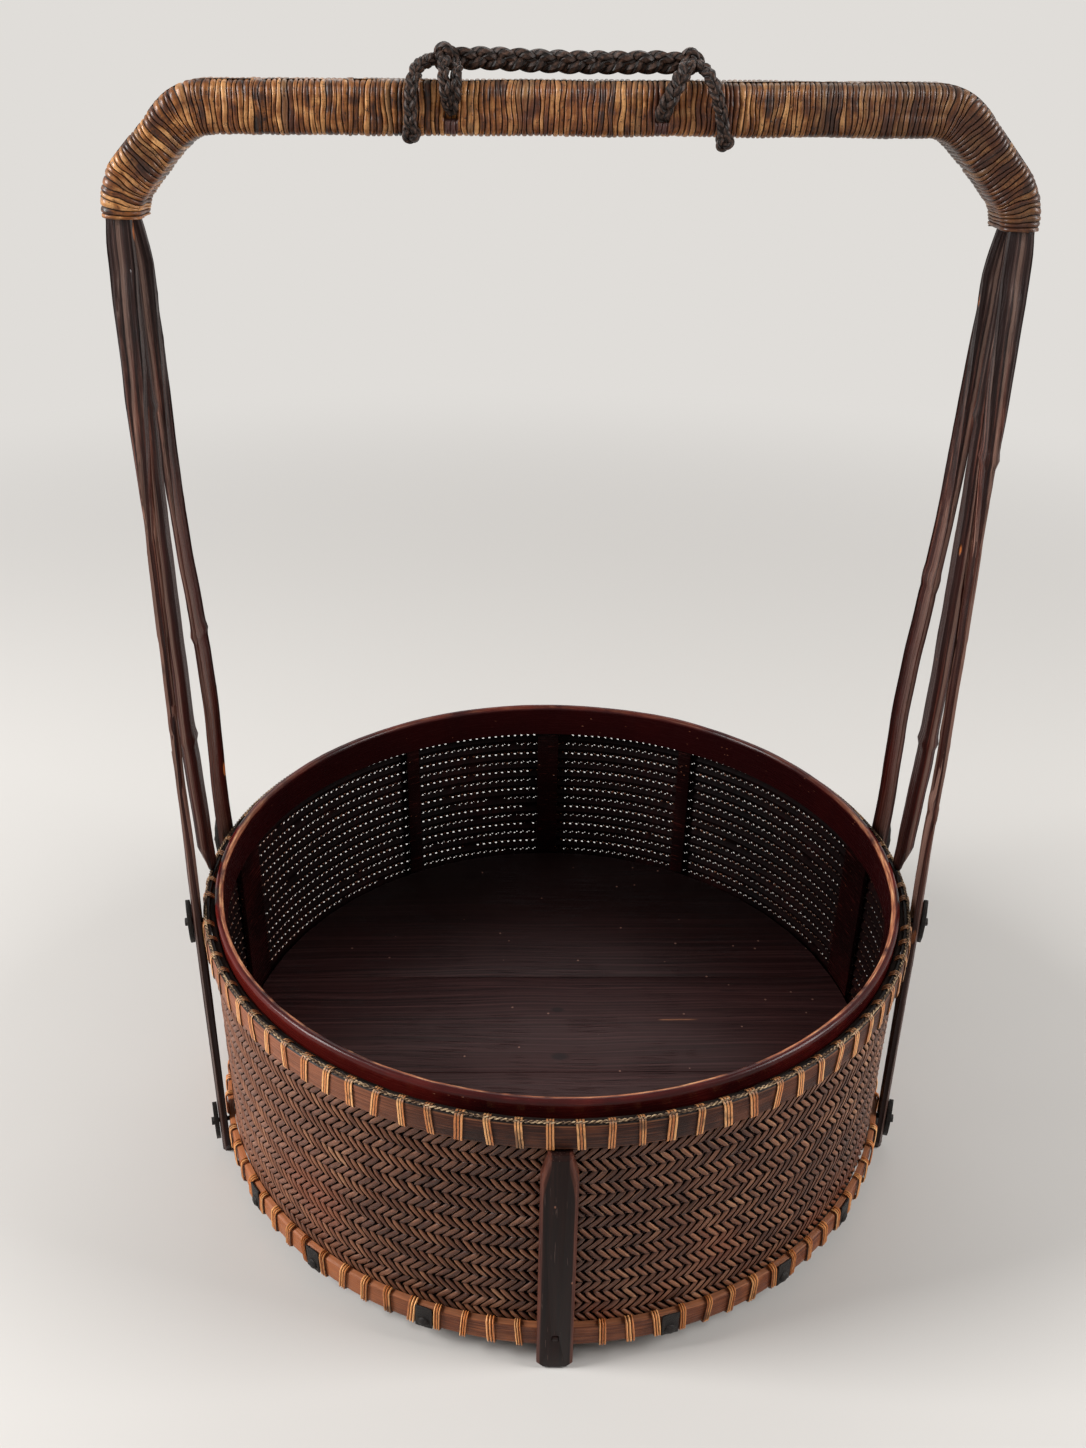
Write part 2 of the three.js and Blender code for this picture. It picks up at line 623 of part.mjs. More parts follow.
// The route's frame: the centre, and the direction that points out of the arch
function frameAt(s) {
  const u = THREE.MathUtils.clamp(s / ROUTE_LENGTH, 0, 1);
  const centre = route.getPointAt(u);
  const along = route.getTangentAt(u);
  return { centre, out: new THREE.Vector3(-along.z, 0, along.x) };
}
// The pole's thickness along the route: thin at the wrap's end, full beside the brace tips, thin
// again in the bend and full in the grip
function poleThick(s) {
  const fromEnd = Math.max(Math.min(s, ROUTE_LENGTH - s), 0);
  const thicks = [POLE_TIP_THICK, POLE_BUNDLE_THICK, POLE_BEND_THICK, POLE_GRIP_THICK];
  const along = Math.min((fromEnd / BEND_LENGTH) * (thicks.length + 1), thicks.length - 1);
  const i = Math.min(Math.floor(along), thicks.length - 2);
  return lerp(thicks[i], thicks[i + 1], along - i);
}
// Eight corners of a rectangle with its corners taken off, thick along `out` and deep along Y
function octagon(centre, out, thick, depth, chamfer = POLE_CORNER) {
  const h = thick / 2;
  const d = depth / 2;
  const c = Math.min(chamfer, h * CORNER_SHARE, d * CORNER_SHARE);
  const corners = [
    [h, d - c], [h, c - d], [h - c, -d], [c - h, -d],
    [-h, c - d], [-h, d - c], [c - h, d], [h - c, d],
  ];
  return corners.map(([o, y]) => {
    const point = centre.clone().addScaledVector(out, o);
    point.y += y;
    return point;
  });
}
function pole() {
  const base = RIM_Z + GAP;
  const neckZ = WRAP_END_Z - BRACE_NARROW_LENGTH;
  const shoulder = BRACE_TIP_TUCK + GAP;
  // One post from its foot on the hoop up to the shoulder inside the wrap
  const postRings = (sign) => {
    const out = new THREE.Vector3(sign, 0, 0);
    const ring = (x, z, thick, depth) => octagon(new THREE.Vector3(sign * x, 0, z), out, thick, depth);
    const rings = [
      ring(POLE_BASE_HALF_SPAN, base, POLE_FOOT_THICK, POLE_FOOT_DEPTH),
      ring(POLE_POST_HALF_SPAN, base + POLE_FOOT_TAPER, POLE_POST_THICK, POLE_POST_DEPTH),
      ring(HANDLE_HALF_SPAN, neckZ - BRACE_TAPER_LENGTH, POLE_POST_THICK, POLE_POST_DEPTH),
      ring(HANDLE_HALF_SPAN, neckZ, POLE_POST_THICK, POLE_NECK_DEPTH),
    ];
    // The neck follows the bend up to the shoulder
    for (let i = 0; i <= TIP_STEPS; i += 1) {
      const s = (i / TIP_STEPS) * shoulder;
      const frame = frameAt(sign < 0 ? s : ROUTE_LENGTH - s);
      rings.push(octagon(frame.centre, frame.out, POLE_POST_THICK, POLE_NECK_DEPTH));
    }
    return rings;
  };
  const bend = [];
  for (let i = 0; i <= BEND_STEPS; i += 1) bend.push(lerp(shoulder, BEND_LENGTH, i / BEND_STEPS));
  const grip = [];
  for (let i = 1; i < GRIP_STEPS; i += 1) {
    grip.push(lerp(BEND_LENGTH, ROUTE_LENGTH - BEND_LENGTH, i / GRIP_STEPS));
  }
  const stations = [...bend, ...grip, ...bend.map((s) => ROUTE_LENGTH - s).reverse()];
  const bow = stations.map((s) => {
    const { centre, out } = frameAt(s);
    return octagon(centre, out, poleThick(s), POLE_DEPTH);
  });
  // Seen along the route, the right post's corners run as the left post's do
  return skin([...postRings(-1), ...bow, ...postRings(1).reverse()]);
}
add("handle_pole", pole(), BAMBOO());

// Cane wrap: one unbroken ribbon wound round the pole from end to end. Its pitch and its start are
// such that each window lies in the middle of a lap.
const WRAP_CORNERS = 8;
const RIBBON_SHARES = [0, 0.25, 0.5, 0.75, 1];
const WINDOW_CORNER = 3; // the corner of the octagon where a lap's middle passes its window
function routeAt(x) {
  let low = 0;
  let high = ROUTE_LENGTH;
  while (high - low > 0.001) {
    const middle = (low + high) / 2;
    if (frameAt(middle).centre.x < x) low = middle;
    else high = middle;
  }
  return low;
}
const wrapPitch = (routeAt(RIGHT_WINDOW_X) - routeAt(LEFT_WINDOW_X)) / WINDOW_LAPS;
const cornerStep = wrapPitch / WRAP_CORNERS;
const ribbonWidth = wrapPitch - WRAP_LAP_GAP;
const windowEdge = routeAt(LEFT_WINDOW_X) + ribbonWidth / 2 - WINDOW_CORNER * cornerStep;
const wrapStart = windowEdge % wrapPitch;
const firstStep = Math.ceil((WRAP_START_WIDTH - wrapStart) / cornerStep);
const lastStep = Math.floor((ROUTE_LENGTH - WRAP_START_WIDTH + ribbonWidth - wrapStart) / cornerStep);
function wrapSection(step) {
  const corner = (step + WRAP_CORNERS) % WRAP_CORNERS;
  const ahead = wrapStart + step * cornerStep;
  const upper = Math.min(ahead, ROUTE_LENGTH);
  const lower = Math.max(ahead - ribbonWidth, 0);
  const at = (s, lift) => {
    const { centre, out } = frameAt(s);
    const grow = 2 * (WRAP_BORE_GAP + lift);
    const ring = octagon(centre, out, poleThick(s) + grow, POLE_DEPTH + grow, POLE_CORNER + lift / 2);
    return ring[corner];
  };
  // Across the ribbon the back is flat on the pole and the face is crowned
  const across = (share, lift) => at(lerp(lower, upper, share), lift);
  const crown = (share) => WRAP_THICK + 4 * WRAP_CROWN * share * (1 - share);
  return [
    ...RIBBON_SHARES.map((share) => across(share, 0)),
    ...[...RIBBON_SHARES].reverse().map((share) => across(share, crown(share))),
  ];
}
function wrap() {
  const rings = [];
  for (let step = firstStep; step <= lastStep; step += 1) rings.push(wrapSection(step));
  // The least gap between one lap's upper edge and the next lap's lower edge at the same corner
  const n = RIBBON_SHARES.length;
  const facingEdges = [[n - 1, 0], [n, 2 * n - 1]];
  let least = Infinity;
  for (let i = 0; i + WRAP_CORNERS < rings.length; i += 1) {
    facingEdges.forEach(([upper, lower]) => {
      least = Math.min(least, rings[i][upper].distanceTo(rings[i + WRAP_CORNERS][lower]));
    });
  }
  const laps = (rings.length / WRAP_CORNERS).toFixed(1);
  console.log(`cane wrap: ${laps} laps at ${wrapPitch.toFixed(2)} mm, least gap ${least.toFixed(2)} mm`);
  return skin(rings);
}
const windowCut = (x) => {
  const front = -POLE_DEPTH / 2 - WRAP_BORE_GAP / 2;
  const back = front - 2 * WRAP_THICK - WRAP_BORE_GAP;
  const box = new THREE.BoxGeometry(WINDOW_WIDTH, front - back, WINDOW_HEIGHT);
  return box.translate(x, (front + back) / 2, HANDLE_Z - POLE_GRIP_THICK / 2 + WINDOW_HEIGHT / 2);
};
add("cane_wrap", cut(wrap(), windowCut(LEFT_WINDOW_X), windowCut(RIGHT_WINDOW_X)), CANE());

// Braces
function brace(side, end) {
  const sign = Math.sign(SIDES[side]);
  const towards = end === "front" ? -1 : 1;
  const tipY = (POLE_NECK_DEPTH + BRACE_TIP_WIDTH) / 2 + GAP;
  const along = (deg, z) => {
    const spread = rad(deg);
    return new THREE.Vector3(
      sign * BRACE_OUTER_R * Math.cos(spread),
      towards * BRACE_OUTER_R * Math.sin(spread),
      z,
    );
  };
  const tip = new THREE.Vector3(sign * (HANDLE_HALF_SPAN + BRACE_TIP_THICK / 2), towards * tipY, WRAP_END_Z);
  const rim = along(BRACE_RIM_DEG, TOP_HOOP_MID_Z);
  const low = along(BRACE_FOOT_DEG, BOTTOM_HOOP_MID_Z);
  // The outer face's centre line, straight from the wrap to the rim and on to the ground
  const centreAt = (z) => {
    const [a, b] = z > rim.z ? [tip, rim] : [rim, low];
    return a.clone().lerp(b, (a.z - z) / (a.z - b.z));
  };
  const narrowZ = WRAP_END_Z - BRACE_NARROW_LENGTH;
  const wideZ = narrowZ - BRACE_TAPER_LENGTH;
  const heights = [
    0, BRACE_END_ROUND / 3, BRACE_END_ROUND,
    BOTTOM_HOOP_MID_Z, TOP_HOOP_MID_Z,
    lerp(TOP_HOOP_MID_Z, wideZ, 0.5), wideZ, lerp(wideZ, narrowZ, 0.5), narrowZ,
  ];
  const section = (centre, out, width, thick, hollow) => {
    const across = new THREE.Vector3(-out.y, out.x, 0).normalize();
    const inner = hollow > 0 ? 0 : BRACE_EDGE;
    const corners = [
      [width / 2, -BRACE_EDGE], [width / 4, 0], [-width / 4, 0], [-width / 2, -BRACE_EDGE],
      [-width / 2, inner - thick], [-width / 4, hollow - thick],
      [width / 4, hollow - thick], [width / 2, inner - thick],
    ];
    return corners.map(([w, o]) => centre.clone().addScaledVector(across, w).addScaledVector(out, o));
  };
  const rings = heights.map((z) => {
    const grown = THREE.MathUtils.clamp((z - wideZ) / (narrowZ - wideZ), 0, 1);
    let width = lerp(BRACE_WIDTH, BRACE_TIP_WIDTH + GAP, grown);
    if (z < BRACE_END_ROUND) width -= BRACE_END_ROUND - z;
    const belly = end === "back" ? BACK_BRACE_BELLY * grown : 0;
    const thick = lerp(BRACE_THICK, BRACE_TIP_THICK, grown) + belly;
    const hollow = lerp(BRACE_HOLLOW, 0, grown);
    const centre = centreAt(z);
    // Above the rim the strip turns from facing out of the wall to facing along X
    const radial = new THREE.Vector3(centre.x, centre.y, 0).normalize();
    const flat = new THREE.Vector3(sign, 0, 0);
    return section(centre, z >= narrowZ ? flat : radial, width, thick, hollow);
  });
  // Inside the wrap the tip follows the pole's bend
  for (let i = 0; i <= TIP_STEPS; i += 1) {
    const s = (i / TIP_STEPS) * BRACE_TIP_TUCK;
    const { centre, out } = frameAt(sign < 0 ? s : ROUTE_LENGTH - s);
    const face = centre.clone().addScaledVector(out, BRACE_TIP_THICK / 2);
    face.y = towards * tipY;
    const flat = new THREE.Vector3(sign, 0, 0);
    const ring = section(new THREE.Vector3(), flat, BRACE_TIP_WIDTH, BRACE_TIP_THICK, 0);
    // The section, drawn flat along X, is tilted into the pole's frame
    const place = (p) => face.clone().addScaledVector(out, sign * p.x).add(new THREE.Vector3(0, p.y, 0));
    rings.push(ring.map(place));
  }
  return cut(
    skin(rings),
    nailHole(braceDeg(side, end, BRACE_RIM_DEG), TOP_HOOP_MID_Z),
    nailHole(braceDeg(side, end, BRACE_FOOT_DEG), BOTTOM_HOOP_MID_Z),
  );
}
BRACES.forEach(({ side, end }) => add(`brace_${side}_${end}`, brace(side, end), DARK_BAMBOO()));

// Iron cleats: a leaf-shaped plate with a nail through the brace and into the hoop
function cleat(deg, z) {
  const leaf = new THREE.Shape();
  const h = CLEAT_HEIGHT / 2;
  const w = CLEAT_WIDTH / 2;
  const shoulder = [w * CLEAT_SHOULDER[0], h * CLEAT_SHOULDER[1]];
  leaf.moveTo(0, -h);
  leaf.lineTo(shoulder[0], -shoulder[1]);
  leaf.lineTo(w, 0);
  leaf.lineTo(shoulder[0], shoulder[1]);
  leaf.lineTo(0, h);
  leaf.lineTo(-shoulder[0], shoulder[1]);
  leaf.lineTo(-w, 0);
  leaf.lineTo(-shoulder[0], -shoulder[1]);
  const plate = new THREE.ExtrudeGeometry(leaf, { depth: CLEAT_THICK, bevelEnabled: false });
  plate.rotateX(Math.PI / 2);
  plate.translate(0, -BRACE_OUTER_R - GAP, z);
  plate.rotateZ(rad(deg));
  const face = BRACE_OUTER_R + GAP + CLEAT_THICK;
  return join(
    plate,
    radialPin(NAIL_R, HOOP_INNER_R + GAP, face - CLEAT_THICK / 2, deg, z),
    radialPin(NAIL_HEAD_R, face - CLEAT_THICK / 2, face + NAIL_HEAD_THICK, deg, z),
  );
}
BRACES.forEach(({ side, end }) => {
  const rimCleat = cleat(braceDeg(side, end, BRACE_RIM_DEG), TOP_HOOP_MID_Z);
  const footCleat = cleat(braceDeg(side, end, BRACE_FOOT_DEG), BOTTOM_HOOP_MID_Z);
  add(`cleat_rim_${side}_${end}`, rimCleat, IRON());
  add(`cleat_base_${side}_${end}`, footCleat, IRON());
});

// Iron straps hooked over the bottom hoop between two ties, with a pointed end below it
function strap(deg) {
  const half = THREE.MathUtils.radToDeg(STRAP_WIDTH / 2 / HOOP_OUTER_R);
  const top = BOTTOM_HOOP_TOP_Z + GAP;
  const inner = TIE_INNER_R;
  const outer = TIE_INNER_R + STRAP_THICK;
  const stations = [
    [[HOOP_INNER_R + GAP, top], [HOOP_INNER_R + GAP, top + STRAP_THICK], half],
    [[inner, top], [outer, top + STRAP_THICK], half],
    [[inner, BOTTOM_HOOP_Z], [outer, BOTTOM_HOOP_Z], half],
    [[inner, BOTTOM_HOOP_Z - STRAP_DROP], [outer, BOTTOM_HOOP_Z - STRAP_DROP], half / 4],
  ];
  const rings = stations.map(([a, b, w]) => [
    polar(a[0], deg - w, a[1]),
    polar(b[0], deg - w, b[1]),
    polar(b[0], deg + w, b[1]),
    polar(a[0], deg + w, a[1]),
  ]);
  return skin(rings);
}
Object.entries({ front: firstBottomTie, back: firstBottomTie + 180 }).forEach(([place, tieDeg]) => {
  STRAP_GAPS.forEach((gap, i) => {
    const spread = (gap + 0.5) * TIE_PITCH_DEG;
    add(`strap_${place}_right_${i + 1}`, strap(tieDeg + spread), IRON());
    add(`strap_${place}_left_${i + 1}`, strap(tieDeg - spread), IRON());
  });
});

// Rope grip: a braid over the wrap, hitched to the handle at both ends
const frontY = -WRAP_OUTER_HALF_DEPTH - WRAP_CROWN - GAP - STRAND_R;
const backY = -frontY;
const gripZ = (x) => HANDLE_Z + (HANDLE_TILT * x) / (HANDLE_HALF_SPAN - CORNER_CUT);
const over = (x) => gripZ(x) + GRIP_HALF_THICK + GAP + STRAND_R;
const under = (x) => gripZ(x) - GRIP_HALF_THICK - GAP - STRAND_R;
const braid = new THREE.CylinderGeometry(BRAID_R, BRAID_R, BRAID_RIGHT_X - BRAID_LEFT_X, 12);
braid.rotateZ(Math.PI / 2);
braid.translate((BRAID_LEFT_X + BRAID_RIGHT_X) / 2, 0, BRAID_Z);
add("rope_braid", braid, ROPE());

const knot = (x, y, z, r = KNOT_R) => new THREE.SphereGeometry(r, 8, 6).translate(x, y, z);
const v = (x, y, z) => new THREE.Vector3(x, y, z);
const windowZ = HANDLE_Z - POLE_GRIP_THICK / 2 + WINDOW_HEIGHT / 2;
const windowY = -POLE_DEPTH / 2 - GAP;
const strand = (points, steps) => tube(points, STRAND_R, STRAND_SIDES, steps);

// The turn that goes once round the wrapped handle
function turnRound(x) {
  const r = TURN_CORNER;
  const points = [
    v(x, frontY + r, over(x)), v(x, backY - r, over(x)), v(x, backY, over(x) - r),
    v(x, backY, under(x) + r), v(x, backY - r, under(x)), v(x, frontY + r, under(x)),
    v(x, frontY, under(x) + r), v(x, frontY, over(x) - r),
  ];
  const rings = points.map((p, i) => {
    const before = points[(i + points.length - 1) % points.length];
    const after = points[(i + 1) % points.length];
    const along = after.clone().sub(before).normalize();
    const side = new THREE.Vector3(1, 0, 0);
    const up = new THREE.Vector3().crossVectors(along, side);
    const ring = [];
    for (let k = 0; k < STRAND_SIDES; k += 1) {
      const a = (2 * Math.PI * k) / STRAND_SIDES;
      const wide = side.clone().multiplyScalar(2 * STRAND_R * Math.cos(a));
      ring.push(p.clone().add(wide).addScaledVector(up, STRAND_R * Math.sin(a)));
    }
    return ring;
  });
  return skin(rings, true);
}
const leftKnotX = BRAID_LEFT_X - GAP - KNOT_R;
add(
  "rope_hitch_left",
  join(
    knot(leftKnotX, 0, BRAID_Z),
    turnRound(HITCH_LEFT_X),
    strand(
      [
        v(leftKnotX, 0, BRAID_Z),
        v(leftKnotX - 6, -1, over(leftKnotX) + 2),
        v(HITCH_LEFT_X, -2, over(HITCH_LEFT_X)),
      ],
      5,
    ),
    strand(
      [
        v(leftKnotX, -1, BRAID_Z),
        v(leftKnotX + 1, frontY / 2, BRAID_Z - 3),
        v(leftKnotX + 2, frontY, over(leftKnotX) - 5),
        v(LEFT_WINDOW_X - 1, frontY, windowZ + STRAND_R),
        v(LEFT_WINDOW_X, windowY - STRAND_R, windowZ - STRAND_R / 2),
      ],
      10,
    ),
  ),
  ROPE(),
);
const rightKnotX = BRAID_RIGHT_X + GAP + KNOT_R;
add(
  "rope_hitch_right",
  join(
    knot(rightKnotX, 0, BRAID_Z),
    strand(
      [
        v(rightKnotX, -1, BRAID_Z),
        v(rightKnotX - 6, frontY / 2 - 4, BRAID_Z - 2),
        v(RIGHT_WINDOW_X - 2, frontY - 1, over(RIGHT_WINDOW_X) - 5),
        v(RIGHT_WINDOW_X - 1, frontY, windowZ + STRAND_R),
        v(RIGHT_WINDOW_X, windowY - STRAND_R, windowZ - STRAND_R / 2),
      ],
      12,
    ),
    strand(
      [
        v(rightKnotX, -1, BRAID_Z),
        v(rightKnotX + 4, frontY / 2, over(rightKnotX) + 2),
        v(rightKnotX + 7, frontY, over(rightKnotX) - 5),
        v(TAIL_X - 2, frontY, HANDLE_Z),
        v(TAIL_X, frontY - 1, under(TAIL_X)),
      ],
      12,
    ),
    knot(TAIL_X, frontY - 1, under(TAIL_X) - 1, KNOT_R * 0.75),
  ),
  ROPE(),
);

export default basket;
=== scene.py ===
# %% [markdown]
# This lesson dresses a bamboo basket. Its solids come from a CAD model, which is loaded as a fixed
# frame. Surfaces that only need a finish keep their solid. The others get a finer mesh in its place.

# %% Load the frame
import math
import random
from bisect import bisect_right

import bmesh
import bpy
from mathutils import Matrix, Vector, noise


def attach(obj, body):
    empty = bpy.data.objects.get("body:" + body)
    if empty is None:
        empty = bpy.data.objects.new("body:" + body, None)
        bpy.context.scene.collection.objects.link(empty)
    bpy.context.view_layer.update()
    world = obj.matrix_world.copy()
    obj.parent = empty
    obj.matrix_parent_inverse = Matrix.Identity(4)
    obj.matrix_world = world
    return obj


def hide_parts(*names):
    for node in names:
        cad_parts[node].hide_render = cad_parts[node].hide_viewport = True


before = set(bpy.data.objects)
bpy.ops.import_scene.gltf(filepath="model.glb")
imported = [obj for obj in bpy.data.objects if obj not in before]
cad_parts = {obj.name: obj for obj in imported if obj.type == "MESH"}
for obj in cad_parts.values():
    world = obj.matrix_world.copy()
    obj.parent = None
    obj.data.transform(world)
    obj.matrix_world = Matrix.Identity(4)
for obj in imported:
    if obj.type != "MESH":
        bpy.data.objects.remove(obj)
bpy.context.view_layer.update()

MM = 0.001
noise.seed_set(1)  # without it, noise_vector starts from the clock and differs from run to run
print("solids:", len(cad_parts))


def show(made):
    bpy.context.scene.collection.objects.link(made)
    return made


# %% [markdown]
# The camera stands where the photographer stood: in front, above the handle's height, looking down
# at 28 degrees. A vertical sensor with a lens of 32.3 mm gives the same crop.

# %% Camera
YAW, PITCH, ROLL = math.radians(1.73), math.radians(28.384), math.radians(1.051)
CAMERA_PLACE = (-0.0271, -0.5929, 0.5652)
FOCAL_PIXELS, PICTURE_HEIGHT, SENSOR_HEIGHT = 1300, 1448, 36
look = Vector((math.sin(YAW) * math.cos(PITCH), math.cos(YAW) * math.cos(PITCH), -math.sin(PITCH)))
level = Vector((math.cos(YAW), -math.sin(YAW), 0))
upright = level.cross(look)
right = math.cos(ROLL) * level + math.sin(ROLL) * upright
above = -math.sin(ROLL) * level + math.cos(ROLL) * upright
lens = bpy.data.cameras.new("camera")
lens.sensor_fit = "VERTICAL"
lens.sensor_height = SENSOR_HEIGHT
lens.lens = FOCAL_PIXELS * SENSOR_HEIGHT / PICTURE_HEIGHT
lens.clip_start = 0.01
camera = show(bpy.data.objects.new("camera", lens))
turn = Matrix((right, above, -look)).transposed().to_4x4()
camera.matrix_world = Matrix.Translation(CAMERA_PLACE) @ turn
bpy.context.scene.camera = camera
print("lens:", round(lens.lens, 2), "mm")

# %% [markdown]
# The sizes below are the CAD model's, in millimetres, so that each finer mesh lies where its solid
# lies. Lengths are turned into metres only when a piece is finished.

# %% Sizes
HOOP_INNER_R, HOOP_OUTER_R = 186.9, 190.0
COLLAR_INNER_R, COLLAR_OUTER_R = 179.0, 183.1
RIM_Z, TOP_HOOP_Z, LIP_TOP_Z = 155.0, 140.2, 161.2
BOTTOM_HOOP_Z, BOTTOM_HOOP_TOP_Z = 12.0, 24.8
HANDLE_Z, HALF_SPAN, TILT = 534.0, 191.4, 1.5
LEFT_CUT, RIGHT_CUT, CORNER_ROUND = 32.3, 35.0, 24.0
WRAP_END_Z = 489.5
POLE_DEPTH = 19.6


def around(radius, degrees, height):
    """A point at an angle from the front, anticlockwise seen from above."""
    a = math.radians(degrees)
    return Vector((radius * math.sin(a), -radius * math.cos(a), height))


def smooth(x):
    x = min(max(x, 0.0), 1.0)
    return x * x * (3 - 2 * x)


def bulge(x, centre, width):
    return math.exp(-(((x - centre) / width) ** 2))


# %% [markdown]
# Node materials are easier to read as sums. This small class wraps one socket. An operator on it
# adds a Math node, and the method node adds any other kind. Colours are written as they look on
# screen, and tone turns them into the linear light that nodes work with.

# %% Shader arithmetic
def tone(colour):
    """A screen colour of three numbers as linear light. A socket is passed on as it is."""
    if isinstance(colour, Wire):
        return colour
    steps = [c / 255 for c in colour]
    return [c / 12.92 if c <= 0.04045 else ((c + 0.055) / 1.055) ** 2.4 for c in steps] + [1.0]


def feed(tree, node, inputs):
    """Links the inputs that are given as a Wire and sets the others."""
    for key, value in inputs.items():
        if isinstance(value, Wire):
            tree.links.new(value.socket, node.inputs[key])
        else:
            node.inputs[key].default_value = value


def operator(operation, swapped=False):
    """A method that adds a Math node. It is swapped for a number on the left, as in 1 - mask."""
    def apply(self, *others):
        values = (self, *others)
        return self.maths(operation, *(values[::-1] if swapped else values))
    return apply


class Wire:
    def __init__(self, tree, socket=None):
        self.tree, self.socket = tree, socket

    def node(self, kind, settings=None, inputs=None, out=0):
        made = self.tree.nodes.new("ShaderNode" + kind)
        for key, value in (settings or {}).items():
            if key == "stops":
                elements = made.color_ramp.elements
                while len(elements) < len(value):
                    elements.new(0.5)
                for element, (place, colour) in zip(elements, value):
                    element.position, element.color = place, tone(colour)
            else:
                setattr(made, key, value)
        feed(self.tree, made, inputs or {})
        return Wire(self.tree, made.outputs[out])

    def maths(self, operation, *values):
        return self.node("Math", {"operation": operation}, dict(enumerate(values)))

    __add__ = __radd__ = operator("ADD")
    __mul__ = __rmul__ = operator("MULTIPLY")
    __sub__, __rsub__ = operator("SUBTRACT"), operator("SUBTRACT", swapped=True)
    __pow__, __abs__ = operator("POWER"), operator("ABSOLUTE")

    def between(self, low, high):
        """0 below low, 1 above high, smooth between. With low above high it falls instead."""
        inputs = {"Value": self, "From Min": low, "From Max": high}
        return self.node("MapRange", {"interpolation_type": "SMOOTHSTEP"}, inputs)

    def ramp(self, *stops):
        return self.node("ValToRGB", {"stops": stops}, {"Fac": self})

    def mix(self, a, b):
        """Colour a where this is 0, colour b where it is 1."""
        return self.node("Mix", {"data_type": "RGBA"}, {"Factor": self, 6: tone(a), 7: tone(b)}, out=2)

    def noise(self, scale, detail=3.0, rough=0.55):
        inputs = {"Vector": self, "Scale": scale, "Detail": detail, "Roughness": rough}
        return self.node("TexNoise", None, inputs)

    def cells(self, scale):
        return self.node("TexVoronoi", None, {"Vector": self, "Scale": scale})

    def stretched(self, x, y, z):
        """This vector with each axis multiplied."""
        return self.node("VectorMath", {"operation": "MULTIPLY"}, {0: self, 1: (x, y, z)})

    def axes(self):
        return [self.node("SeparateXYZ", None, {"Vector": self}, out=axis) for axis in "XYZ"]


# %% [markdown]
# A finish is a Principled shader on its own material. Object coordinates are in metres, and each
# finish multiplies them to millimetres, so that every scale below can be read off the real thing.
# A finish starts from a base colour, and each call of paint lays one more colour over it.

# %% Finish
class Finish:
    def __init__(self, name):
        self.material = bpy.data.materials.new(name)
        self.material.use_nodes = True
        self.tree = self.material.node_tree
        self.tree.nodes.clear()
        self.shader = self.tree.nodes.new("ShaderNodeBsdfPrincipled")
        self.output = self.tree.nodes.new("ShaderNodeOutputMaterial")
        self.tree.links.new(self.shader.outputs[0], self.output.inputs[0])
        self.wire = Wire(self.tree)
        self.place = self.wire.node("TexCoord", out="Object").stretched(1000, 1000, 1000)
        self.x, self.y, self.z = self.place.axes()

    def point(self, x, y, z):
        return self.wire.node("CombineXYZ", None, {"X": x, "Y": y, "Z": z})

    def uv(self):
        return self.wire.node("UVMap", {"uv_map": "UVMap"}).axes()[:2]

    def island(self):
        return self.wire.node("NewGeometry", out="Random Per Island")

    def ring(self, radius):
        """Coordinates on a hoop: millimetres round it, millimetres up, and distance from the axis."""
        angle = self.x.maths("ARCTAN2", self.x, self.y * -1)
        away = (self.x * self.x + self.y * self.y) ** 0.5
        return angle * radius, self.z, away

    def paint(self, mask, colour):
        self.base = mask.mix(self.base, colour)

    def surface(self, rough, bump=None, depth=0.3, specular=0.5, coat=(0.0, 0.03), metallic=0.0):
        """Feeds the shader. The bump's depth is in millimetres, and a coat is its weight and roughness."""
        inputs = {"Base Color": tone(self.base), "Roughness": rough, "Specular IOR Level": specular,
                  "Metallic": metallic, "Coat Weight": coat[0], "Coat Roughness": coat[1]}
        if bump is not None:
            heights = {"Height": bump, "Strength": 1.0, "Distance": depth * MM}
            inputs["Normal"] = self.wire.node("Bump", None, heights)
        feed(self.tree, self.shader, inputs)
        print("finish:", self.material.name)
        return self.material


# %% [markdown]
# Red-black lacquer covers the collar and the stiles inside the wall. It is glossy, has worn to light
# brown in a thin line along the collar's lip, and carries fine scratches round the hoop. That light
# line is partly a painted highlight, and it fades towards the back. A painted highlight lightens
# the outer face at the left, and painted shade darkens the inner face below the lip.

